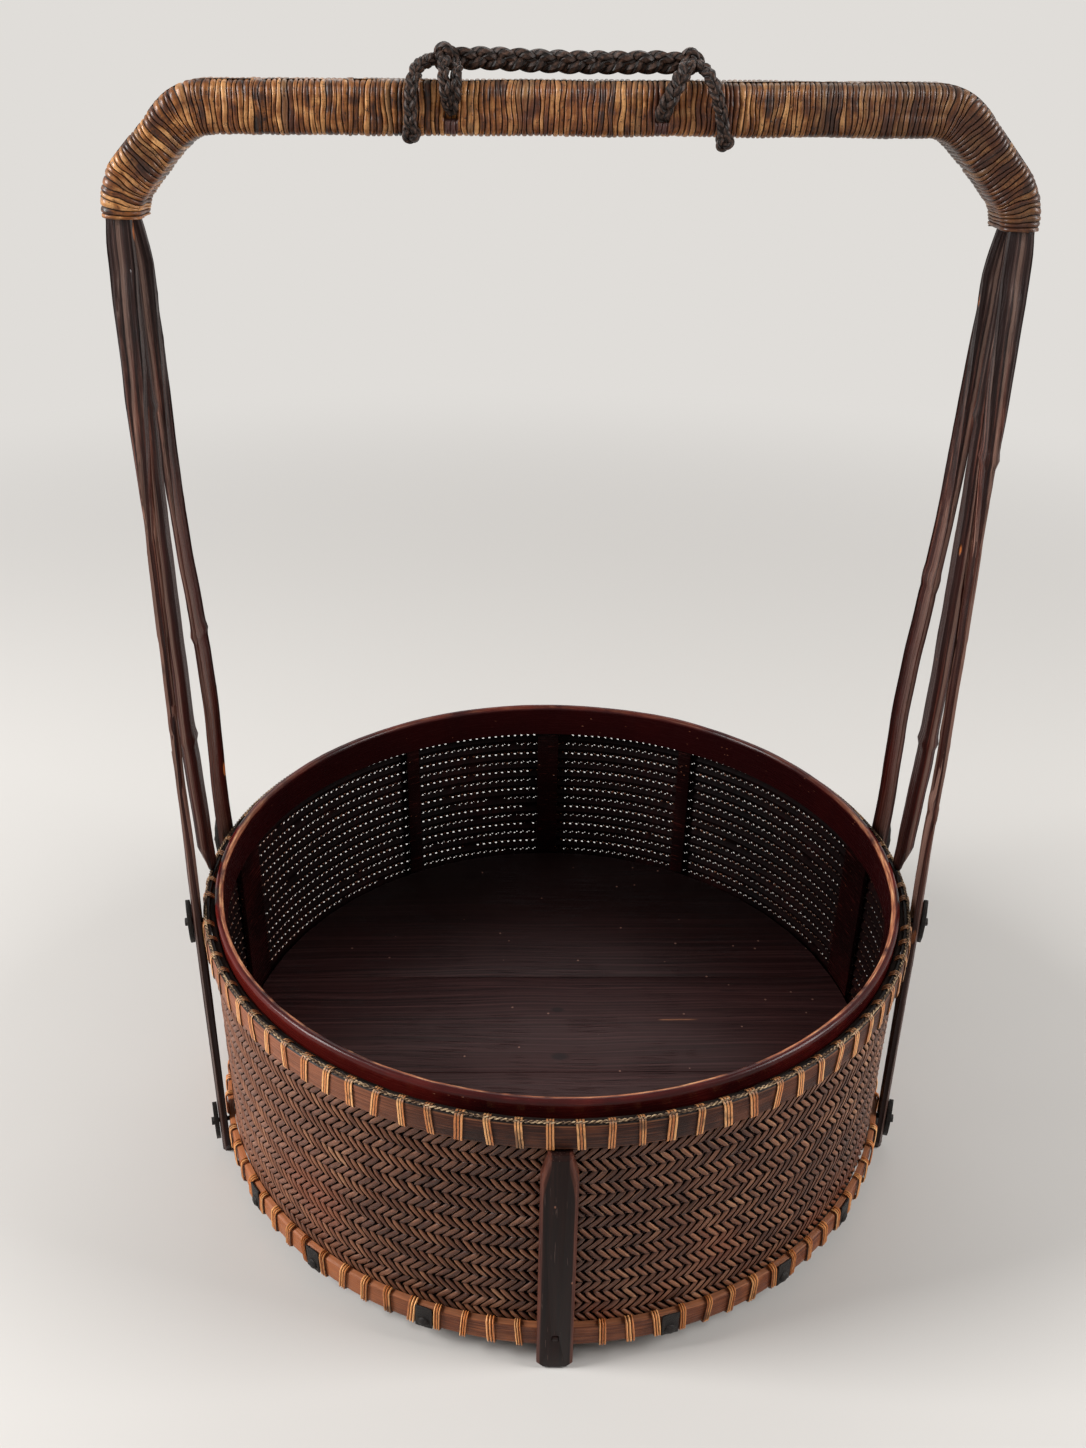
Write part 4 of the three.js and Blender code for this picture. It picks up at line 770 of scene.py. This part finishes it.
def ties(name, node, path, first, skipped, seed):
    bm = bmesh.new()
    for k in (-1, 0, 1):
        strip(bm, path, CANE_WIDTH, CANE_THICK, CANE_SPACING * k)
    face_outwards(bm)
    to_first = Matrix.Rotation(math.radians(first), 3, "Z")
    bmesh.ops.rotate(bm, cent=(0, 0, 0), matrix=to_first, verts=bm.verts[:])
    copied_round(bm, TIES)
    chance = random.Random(seed)
    leans = [chance.uniform(-0.9, 0.9) for _ in range(TIES)]
    spreads = [chance.uniform(0.8, 1.12) for _ in range(TIES)]
    heights = [z for _, z in path]
    middle = (max(heights) + min(heights)) / 2
    gone = []
    for vert in bm.verts:
        degrees = math.degrees(math.atan2(vert.co.x, -vert.co.y))
        k = round((degrees - first) / TIE_ANGLE)
        centre = first + TIE_ANGLE * k
        if any(abs((centre - other + 180) % 360 - 180) < clear for other, clear in skipped):
            gone.append(vert)
            continue
        rise = (vert.co.z - middle) / 7
        turn_by = (degrees - centre) * (spreads[k % TIES] - 1)
        turn_by += math.degrees(leans[k % TIES] * rise / HOOP_OUTER_R)
        vert.co = Matrix.Rotation(math.radians(turn_by), 3, "Z") @ vert.co
    bmesh.ops.delete(bm, geom=gone, context="VERTS")
    wander(bm, 3, 0.12)
    piece(bm, name, tie_cane, [node])


over_rim = [(184.2, 151.4), (184.9, 152.6), (186.0, 153.8), (187.4, 154.9), (188.6, 155.0), (189.6, 154.6),
            (190.35, 153.7), (190.6, 152.2), (190.65, 149.6), (190.65, 146.6), (190.6, 143.6), (190.6, 141.2),
            (190.3, 140.1), (189.4, 139.5), (188.2, 139.3), (187.4, 139.6)]
under_hoop = [(184.6, 11.4), (186.4, 11.0), (188.2, 11.0), (189.6, 11.4), (190.4, 12.2), (190.6, 13.6),
              (190.6, 16.2), (190.65, 18.4), (190.6, 21.0), (190.6, 23.4), (190.35, 24.7), (189.5, 25.4),
              (188.4, 25.5), (187.6, 25.2)]
legs_at_rim = [(side + off, 1.25) for side in (90, -90) for off in (11.5, -11.5)] + [(90, 2.1), (-90, 2.1)]
legs_at_base = [(side + off, 1.25) for side in (90, -90) for off in (15.2, -15.2)]
feet = [(-1.2, 3.6), (178.8, 3.6)]
ties("rim_ties", "top_lashing", over_rim, 1.4, legs_at_rim, 3)
ties("base_ties", "bottom_lashing", under_hoop, -2.4, legs_at_base + feet, 4)

# %% [markdown]
# Between the ties a thin cord of two twisted strands runs along the hoop's upper edge and shows as a
# row of pale dashes. Each strand is a grid wrapped into a tube that winds round a circle.

# %% Edging cord
def tube(bm, centre, steps, radius, sides, closed=False):
    """A tube along centre(t), t from 0 to 1, with UVs of turns round and millimetres along."""
    points = [centre(k / steps) for k in range(steps + 1)]
    lengths = distances(points)
    frames = []
    side = None
    for k in range(steps + 1):
        if closed:
            before, after = points[(k - 1) % steps], points[(k + 1) % steps]
        else:
            before, after = points[max(k - 1, 0)], points[min(k + 1, steps)]
        run = (after - before).normalized()
        if side is None:
            side = run.orthogonal().normalized()
        side = (side - run * side.dot(run)).normalized()
        frames.append((side.copy(), run.cross(side)))

    def place(u, v):
        k = round(v * steps)
        a = 2 * math.pi * u
        thick = radius(v) if callable(radius) else radius
        s, t = frames[k]
        return points[k] + s * (thick * math.cos(a)) + t * (thick * math.sin(a))
    verts = laid(bm, sides, steps, place, lambda u, v: (u, lengths[round(v * steps)]))
    if closed:
        bmesh.ops.remove_doubles(bm, verts=verts, dist=0.01)
    else:
        closed_up(bm, verts, 0.001)


TWISTS = 225
CORD_R, CORD_Z, CORD_STRAND_R = 188.9, 154.75, 0.36
bm = bmesh.new()
for start in (0, math.pi):
    def winding(t, start=start):
        a = 2 * math.pi * t
        spin = TWISTS * a + start
        return around(CORD_R + 0.5 * math.cos(spin), math.degrees(a), CORD_Z + 0.4 * math.sin(spin))
    tube(bm, winding, TWISTS * 8, CORD_STRAND_R, sides=5, closed=True)
face_outwards(bm)
piece(bm, "edging_cord", edging_cane)

# %% [markdown]
# The handle's route is the CAD model's: up the left post, across both corners on a slant with curved
# bends, and down the right post. It is sampled once, and everything wound on the handle reads it.

# %% Handle route
def route_points():
    knees = [Vector((-HALF_SPAN, 0, WRAP_END_Z)), Vector((-HALF_SPAN, 0, HANDLE_Z - LEFT_CUT - TILT)),
             Vector((-HALF_SPAN + LEFT_CUT, 0, HANDLE_Z - TILT)),
             Vector((HALF_SPAN - RIGHT_CUT, 0, HANDLE_Z + TILT)),
             Vector((HALF_SPAN, 0, HANDLE_Z - RIGHT_CUT + TILT)), Vector((HALF_SPAN, 0, WRAP_END_Z))]
    tangent = CORNER_ROUND * math.tan(math.pi / 8)
    points = [knees[0]]
    for before, knee, after in zip(knees, knees[1:], knees[2:]):
        back = knee + (before - knee).normalized() * tangent
        ahead = knee + (after - knee).normalized() * tangent
        for k in range(17):
            t = k / 16
            points.append(back * (1 - t) ** 2 + knee * 2 * t * (1 - t) + ahead * t * t)
    return points + [knees[-1]]


class Route:
    def __init__(self, points):
        self.points, self.marks = points, distances(points)
        self.length = self.marks[-1]

    def at(self, s):
        """The point at a distance along the route."""
        s = min(max(s, 0.0), self.length)
        k = min(bisect_right(self.marks, s), len(self.marks) - 1) - 1
        share = (s - self.marks[k]) / max(self.marks[k + 1] - self.marks[k], 1e-9)
        return self.points[k].lerp(self.points[k + 1], share)

    def frame(self, s):
        """The point, and the direction away from the handle's inner side."""
        run = (self.at(s + 2) - self.at(s - 2)).normalized()
        return self.at(s), Vector((-run.z, 0, run.x))


route = Route(route_points())
BEND_LENGTH = HANDLE_Z - WRAP_END_Z + LEFT_CUT
POLE_THICKS = [10.2, 12.6, 12.2, 14.5]


def pole_thick(s):
    from_end = max(min(s, route.length - s), 0)
    along = min(from_end / BEND_LENGTH * 4, 3)
    i = min(int(along), 2)
    return POLE_THICKS[i] + (POLE_THICKS[i + 1] - POLE_THICKS[i]) * (along - i)


print("route:", round(route.length, 1), "mm")

# %% [markdown]
# One long cane is wound round the handle in about 195 turns of 2.2 mm. A grid is wrapped round the
# route, and each row of its vertices is pushed in or out by where it falls on a turn. The grid is
# sheared by one turn for each time round, so that the ridges wind as one helix. First comes the
# section: seven points along each side of a square, four round each corner, and where each faces.

# %% Cane wrap
TURN = 2.2
STEPS = 5
BASE_LIFT, SUNK_LIFT, NOTCH_LIFT = 2.35, -2.5, -0.85
CORNER_R, TURN_HEIGHT = 3.4, 0.8
WOBBLE, END_SHIFT = 1.3, 1.2
corners = [(1, -1), (1, 1), (-1, 1), (-1, -1)]
sides = []
for (ax, ay), (bx, by) in zip(corners, corners[1:] + corners[:1]):
    normal = Vector((ax + bx, ay + by)).normalized()
    following = Vector((-normal.y, normal.x))
    for k in range(7):
        share = k / 7
        sides.append((ax + (bx - ax) * share, ay + (by - ay) * share, normal))
    for k in range(4):
        a = math.radians(90 * k / 4)
        sides.append((bx, by, normal * math.cos(a) + following * math.sin(a)))
AROUND = len(sides)
lanes = int(route.length / TURN + 1) * STEPS


def wrap_place(u, v):
    j = round(u * AROUND)
    ax, ay, normal = sides[j % AROUND]
    lane = v * lanes - STEPS
    s = (lane / STEPS + j / AROUND) * TURN
    turn_number = lane / STEPS
    inside = min(max(s, 0), route.length)
    from_end = min(inside, route.length - inside)
    wobble = noise.noise(((normal.x + ax) * 0.45, (normal.y + ay) * 0.45, inside / 5)) * WOBBLE
    centre, out = route.frame(inside + wobble * smooth(from_end / 6))
    share = turn_number % 1
    number = math.floor(turn_number + 1e-6)
    ridge = TURN_HEIGHT * math.sqrt(max(0.0, 1 - (2 * share - 1) ** 2)) if share else 0.0
    wild = noise.noise((number * 7.7, number * 3.1, 0)) * 0.32
    slow = noise.noise((inside / 30, ax * 2, ay * 2)) * 0.5
    lift = BASE_LIFT - 1.0 + ridge + (wild if share else 0.0) + slow
    if s < 0 or s > route.length:
        lift = SUNK_LIFT
    if -0.98 <= ax <= 0.1 and normal.y < -0.5:
        if any(abs(centre.x - x) < NOTCH_HALF_WIDTH for x in NOTCHES):
            lift = NOTCH_LIFT
    at_end = 1 - smooth(from_end / 45)
    centre = centre - Vector((math.copysign(END_SHIFT, centre.x) * at_end, 0, 0))
    high, deep = pole_thick(inside) / 2 + 1.0, POLE_DEPTH / 2 + 1.0
    x = ax * (high - CORNER_R) + normal.x * (CORNER_R + lift)
    y = ay * (deep - CORNER_R) + normal.y * (CORNER_R + lift)
    return centre + out * x + Vector((0, y, 0))


bm = bmesh.new()
verts = laid(bm, AROUND, lanes + STEPS, lambda u, v: wrap_place(u, v * (lanes + STEPS) / lanes),
             lambda u, v: (u, v * (lanes + STEPS) / STEPS))
bmesh.ops.remove_doubles(bm, verts=verts, dist=0.004)
bmesh.ops.holes_fill(bm, edges=[edge for edge in bm.edges if edge.is_boundary], sides=0)
face_outwards(bm)
piece(bm, "handle_wrap", wrap_cane, ["cane_wrap"], sharp=80)

# %% [markdown]
# The grip is a plait of three strands, each of which swings from side to side while it rises and
# falls twice as often. Its ends are hitched to the handle with thinner plaits and small knots.

# %% Rope
def plait(bm, points, radius, swing, rise, wave):
    line = Route([Vector(p) for p in points])
    steps = max(int(line.length / 0.9), 12)
    for phase in (0, 2 * math.pi / 3, 4 * math.pi / 3):
        def centre(t, phase=phase):
            s = t * line.length
            run = (line.at(s + 1.5) - line.at(s - 1.5)).normalized()
            side = run.cross(Vector((0, 1, 0)) if abs(run.y) < 0.8 else Vector((0, 0, 1))).normalized()
            turn_by = 2 * math.pi * s / wave + phase
            up = side.cross(run)
            return line.at(s) + side * (swing * math.sin(turn_by)) + up * (rise * math.sin(2 * turn_by))
        tube(bm, centre, steps, lambda v: radius * (1 - 0.35 * (2 * v - 1) ** 12), sides=8)


def smooth_line(points, count=40):
    """A smooth curve through the points."""
    points = [Vector(p) for p in points]
    padded = [points[0] * 2 - points[1]] + points + [points[-1] * 2 - points[-2]]
    line = []
    for k in range(count + 1):
        t = k / count * (len(points) - 1)
        i = min(int(t), len(points) - 2)
        a, b, c, d = padded[i:i + 4]
        t -= i
        line.append(0.5 * ((2 * b) + (c - a) * t + (2 * a - 5 * b + 4 * c - d) * t * t
                           + (3 * b - a - 3 * c + d) * t ** 3))
    return line


def knot(bm, x, y, z, size, radius):
    def centre(t):
        a = 2 * math.pi * t
        ring = 1 + 0.5 * math.cos(3 * a)
        return Vector((x + size * ring * math.cos(2 * a), y + size * 0.6 * math.sin(3 * a),
                       z + size * ring * math.sin(2 * a)))
    tube(bm, centre, 60, radius, sides=7, closed=True)


def rope_piece(bm, name, node):
    face_outwards(bm)
    return piece(bm, name, rope_finish, [node])


grip_line = smooth_line([(-53.5, 0, 550.6), (-46, 0, 551.6), (-30, 0, 551.5), (-8, 0, 550.9), (14, 0, 550.9),
                         (34, 0, 551.3), (45.5, 0, 550.8)], 48)
bm = bmesh.new()
plait(bm, grip_line, 2.2, 2.3, 1.2, 24)
rope = rope_piece(bm, "rope_grip", "rope_braid")

bm = bmesh.new()
bight = [(-53, -1, 551), (-54, -9, 550.5), (-54, -14.5, 546), (-53.2, -16.2, 540), (-52.6, -14.4, 536),
         (-51.4, -12.4, 533), (-50, -14.4, 536), (-49.4, -15.8, 540.5), (-48.8, -14, 546), (-48.6, -8, 549.8)]
plait(bm, smooth_line(bight, 60), 1.25, 1.4, 0.7, 15)
loop = [(-54, 0, 552), (-60, -4, 550.6), (-64.8, -10, 548), (-66.6, -14.6, 543), (-67.4, -15.6, 535),
        (-67.6, -15.2, 527.5), (-68, -10, 523), (-68, 0, 521.8), (-67.8, 9, 522.4), (-67.6, 14.8, 526),
        (-67.2, 15.4, 534), (-67, 14.2, 543), (-65.5, 8, 548), (-61, 3, 550.5), (-55, 1, 552)]
plait(bm, smooth_line(loop, 80), 1.3, 1.5, 0.7, 15)
knot(bm, -67.6, -14.4, 524.4, 1.9, 1.4)
knot(bm, -53.4, -1.5, 552.0, 2.7, 1.9)
left_hitch = rope_piece(bm, "rope_hitch_at_left", "rope_hitch_left")

bm = bmesh.new()
inner_end = [(45, -1, 551), (44, -9, 550.4), (40.6, -14.5, 546), (37.4, -16.2, 540), (35.4, -14.6, 535.5),
             (34.6, -12, 531.8), (34.4, -9.5, 530.4)]
plait(bm, smooth_line(inner_end), 1.7, 1.9, 0.8, 15)
outer_end = [(46, -1, 551.5), (50, -8, 550), (53, -14, 546), (55.6, -16.2, 540), (57.6, -16.2, 534),
             (59, -15.8, 528.5), (59.8, -15, 524.5)]
plait(bm, smooth_line(outer_end), 1.35, 1.5, 0.8, 15)
knot(bm, 60, -15, 523.2, 1.9, 1.4)
knot(bm, 46.2, -1.5, 551.8, 2.5, 1.8)
right_hitch = rope_piece(bm, "rope_hitch_at_right", "rope_hitch_right")

# %% [markdown]
# The feet, stiles, planks and cleats keep the shape of their solids. A copy of each is merged, and its
# sharp edges are bevelled, because a planed edge always catches a thin line of light. The hoop inside
# the wall lies out of sight under the floor, so it keeps its solid and only gets a finish.

# %% Softened copies
def softened(node, ease):
    bm = bmesh.new()
    bm.from_mesh(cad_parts[node].data)
    bmesh.ops.scale(bm, vec=(1000, 1000, 1000), verts=bm.verts[:])
    bmesh.ops.remove_doubles(bm, verts=bm.verts[:], dist=0.002)
    bmesh.ops.dissolve_limit(bm, angle_limit=math.radians(1), verts=bm.verts[:], edges=bm.edges[:])
    corners = [edge for edge in bm.edges if edge.calc_face_angle(0) > math.radians(22)]
    bmesh.ops.bevel(bm, geom=corners, offset=ease, segments=2, affect="EDGES", profile=0.5, material=-1,
                    clamp_overlap=True)
    return bm


def soften(node, ease, name, finish, sharp=35):
    piece(softened(node, ease), name, finish, [node], sharp)


for where in ("front", "back"):
    soften(where + "_foot", 0.35, where + "_foot_strip", foot_finish)
    soften(where + "_foot_peg", 0.2, where + "_peg", foot_finish)
    for side in ("left", "right"):
        for level in ("rim", "base"):
            spot = f"{level}_{side}_{where}"
            soften("cleat_" + spot, 0.3, "iron_" + spot, iron, sharp=50)
for node in [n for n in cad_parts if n.startswith("stile_")]:
    soften(node, 0.35, "lacquer_" + node, stile_shaded_lacquer, sharp=50)
for where in ("front", "middle", "back"):
    soften("floor_plank_" + where, 0.3, where + "_plank", plank_finish)
hidden_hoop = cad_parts["inner_bottom_hoop"]
hidden_hoop.data.materials.clear()
hidden_hoop.data.materials.append(stile_shaded_lacquer)

# %% [markdown]
# The legs are split bamboo: lengthwise grooves, slow waves, and a swelling at each knuckle. A leg
# leans, so its copy is first stood upright by taking out its centre line, then cut lengthwise and
# across, roughened along its normals, and leaned back. The upright place is kept as an attribute,
# which the leg finish reads.

# %% Legs
SLICE = 4
HEIGHTS = [SLICE * k for k in range(1, 125)]


def sliced(bm, normal, places):
    """Cuts the mesh by one plane at each place along the normal."""
    for place in places:
        bmesh.ops.bisect_plane(bm, geom=everything(bm), plane_co=Vector(normal) * place, plane_no=normal)


def middle_at(bm, z):
    level = [vert.co for vert in bm.verts if abs(vert.co.z - z) < 0.01]
    xs, ys = [co.x for co in level], [co.y for co in level]
    return Vector(((min(xs) + max(xs)) / 2, (min(ys) + max(ys)) / 2, 0))


def leaned(bm, middles, sign):
    for vert in bm.verts:
        place = min(max(vert.co.z / SLICE - 1, 0), len(middles) - 1.001)
        k = int(place)
        vert.co += sign * middles[k].lerp(middles[k + 1], place - k)


def roughen(bm, span, pushes, form, knuckles, seed, spoon):
    """Grooves, waves and knuckles. The middle line of each side stands span away from the axis."""
    bm.normal_update()
    grain = bm.verts.layers.float_vector.new("grain")
    for vert in bm.verts:
        x, y, z = vert.co.x - math.copysign(span, vert.co.x), vert.co.y, vert.co.z
        vert[grain] = (x, y, z)
        free = smooth((z - 170) / 15) * smooth((488 - z) / 20)
        groove = noise.noise((x * 0.62 + seed, y * 0.62, z / 240))
        groove += 0.5 * noise.noise((x * 1.4, y * 1.4 + seed, z / 120))
        depth = -0.6 * abs(groove) ** 0.7 * smooth((493 - z) / 6)
        wave = noise.noise((z / 26, seed, 0)) * 0.4 * free
        swell = sum(bulge(z, place, 3.2) * 0.9 - bulge(z, place - 5, 3) * 0.4 for place in knuckles) * free
        hollow = 0.9 * spoon * bulge(z, 472, 9) * bulge(x, 0, 3) if vert.normal.y < -0.5 else 0
        clear = smooth((z - 162) / 90) * smooth((506 - z) / 30)
        wider, outwards = form(z)
        move = (wider * vert.normal.x + outwards * pushes[vert.co.x > 0]) * clear
        vert.co += vert.normal * (depth + swell) + Vector((wave + move, hollow, 0))


def front_form(z):
    """Extra half width, and how far outwards. A front leg turns its broad face forwards near the top."""
    return -1.6 + 3.1 * smooth((z - 330) / 110), 1.3


def back_form(z):
    return -0.2, -1.5 - 1.9 * smooth((400 - z) / 150)


def post_form(z):
    return -0.4 + 0.6 * smooth((420 - z) / 80), 1.9 * smooth((430 - z) / 90)


def leg(where, push, form, knuckles, seed, spoon):
    bm = softened("brace_" + where, 0.6)
    sliced(bm, (0, 0, 1), HEIGHTS)
    middles = [middle_at(bm, z) for z in HEIGHTS]
    leaned(bm, middles, -1)
    sliced(bm, (1, 0, 0), [1.1 * k for k in range(-4, 5)])
    sliced(bm, (0, 1, 0), [1.1 * k for k in range(-7, 8)])
    roughen(bm, 0, (push, push), form, knuckles, seed, spoon)
    leaned(bm, middles, 1)
    piece(bm, "leg_" + where, leg_finish, ["brace_" + where], sharp=55)


leg("left_front", -1, front_form, [262], 11, 1)
leg("left_back", -1, back_form, [284], 23, 0)
leg("right_front", 1, front_form, [214, 392], 37, 1)
leg("right_back", 1, back_form, [318], 41, 0)
bm = softened("handle_pole", 0.6)
sliced(bm, (0, 0, 1), HEIGHTS)
sliced(bm, (1, 0, 0), [side * HALF_SPAN + 1.2 * k for side in (-1, 1) for k in range(-3, 4)])
sliced(bm, (0, 1, 0), [1.2 * k for k in range(-6, 7)])
roughen(bm, HALF_SPAN, (-1, 1.3), post_form, [236, 408], 57, 1)
piece(bm, "pole", leg_finish, ["handle_pole"], sharp=55)

# %% [markdown]
# Small black iron plates are let in over the bottom hoop. Each is a bevelled block with a domed stud
# low on it, cut into upright slices and then bent to the hoop's curve where its solid is.

# %% Hoop plates
PLATE_R, PLATE_Z = 190.9, 18.4


def hoop_plate(node, name):
    middle = sum((vert.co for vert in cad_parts[node].data.vertices), Vector())
    degrees = math.degrees(math.atan2(middle.x, -middle.y))
    bm = bmesh.new()
    bmesh.ops.create_cube(bm, size=1)
    bmesh.ops.scale(bm, vec=(8.8, 1.1, 13.6), verts=bm.verts[:])
    bmesh.ops.bevel(bm, geom=bm.edges[:], offset=0.3, segments=2, affect="EDGES", profile=0.5, material=-1)
    sliced(bm, (1, 0, 0), [-3, -1.5, 0, 1.5, 3])
    sliced(bm, (0, 0, 1), [-4, -2, 0, 2, 4])
    stud = bmesh.ops.create_uvsphere(bm, u_segments=14, v_segments=8, radius=1)["verts"]
    bmesh.ops.scale(bm, vec=(3, 1.5, 3), verts=stud)
    bmesh.ops.translate(bm, vec=(0, 0.5, -3), verts=stud)
    for vert in bm.verts:
        vert.co += noise.noise_vector(vert.co / 3 + Vector((degrees, 0, 0))) * 0.2
        x, y, z = vert.co
        vert.co = around(PLATE_R + y, degrees + math.degrees(x / PLATE_R), PLATE_Z + z)
    face_outwards(bm)
    piece(bm, name, iron, [node], sharp=50)


for node in [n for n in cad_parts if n.startswith("strap_")]:
    hoop_plate(node, node.replace("strap", "plate"))

# %% [markdown]
# The studio is a pale floor with two broad lamps at the sides and one behind. Far from the basket the
# floor turns into the backdrop's plain colour, and the world shows that colour to the camera and in
# reflections, so no horizon is seen. The basket's shadow stays on the near floor.

# %% Studio
BACKDROP = (224, 221, 217)


def seen(wire):
    """1 for what the camera sees, directly, in a reflection or through glass."""
    direct, glossy, through = [wire.node("LightPath", out=f"Is {kind} Ray")
                               for kind in ("Camera", "Glossy", "Transmission")]
    rays = direct + glossy + through
    return rays.maths("MINIMUM", rays, 1)


def make_floor():
    f = Finish("pale_floor")
    f.base = (202, 199, 195)
    f.surface(0.9)
    far = ((f.x * f.x + f.y * f.y) ** 0.5).between(550, 1700) * seen(f.wire)
    plain = f.wire.node("Emission", None, {"Color": tone(BACKDROP)})
    near = Wire(f.tree, f.shader.outputs[0])
    blend = f.wire.node("MixShader", None, {0: far, 1: near, 2: plain})
    feed(f.tree, f.output, {"Surface": blend})
    return f.material


bm = bmesh.new()
bmesh.ops.create_circle(bm, cap_ends=True, segments=64, radius=12)
mesh = bpy.data.meshes.new("floor")
bm.to_mesh(mesh)
bm.free()
mesh.materials.append(make_floor())
floor = show(bpy.data.objects.new("floor", mesh))


def lamp(name, place, target, size, power):
    data = bpy.data.lights.new(name, "AREA")
    data.shape = "RECTANGLE"
    data.size, data.size_y = size
    data.energy = power
    made = show(bpy.data.objects.new(name, data))
    made.location = place
    made.rotation_euler = (Vector(target) - Vector(place)).to_track_quat("-Z", "Y").to_euler()


lamp("left_lamp", (-1.6, -0.3, 1.15), (0, 0, 0.2), (0.6, 1.0), power=46)
lamp("right_lamp", (1.5, -0.35, 1.1), (0, 0, 0.2), (0.6, 1.0), power=27)
lamp("back_lamp", (0.2, 1.3, 1.5), (0, 0, 0.15), (1.4, 0.8), power=7)
world = bpy.data.worlds.new("studio")
bpy.context.scene.world = world
world.use_nodes = True
light = seen(Wire(world.node_tree)).mix((122, 120, 118), BACKDROP)
feed(world.node_tree, world.node_tree.nodes["Background"], {0: light})
bpy.context.scene.view_settings.view_transform = "Standard"
print("lamps:", len(bpy.data.lights))
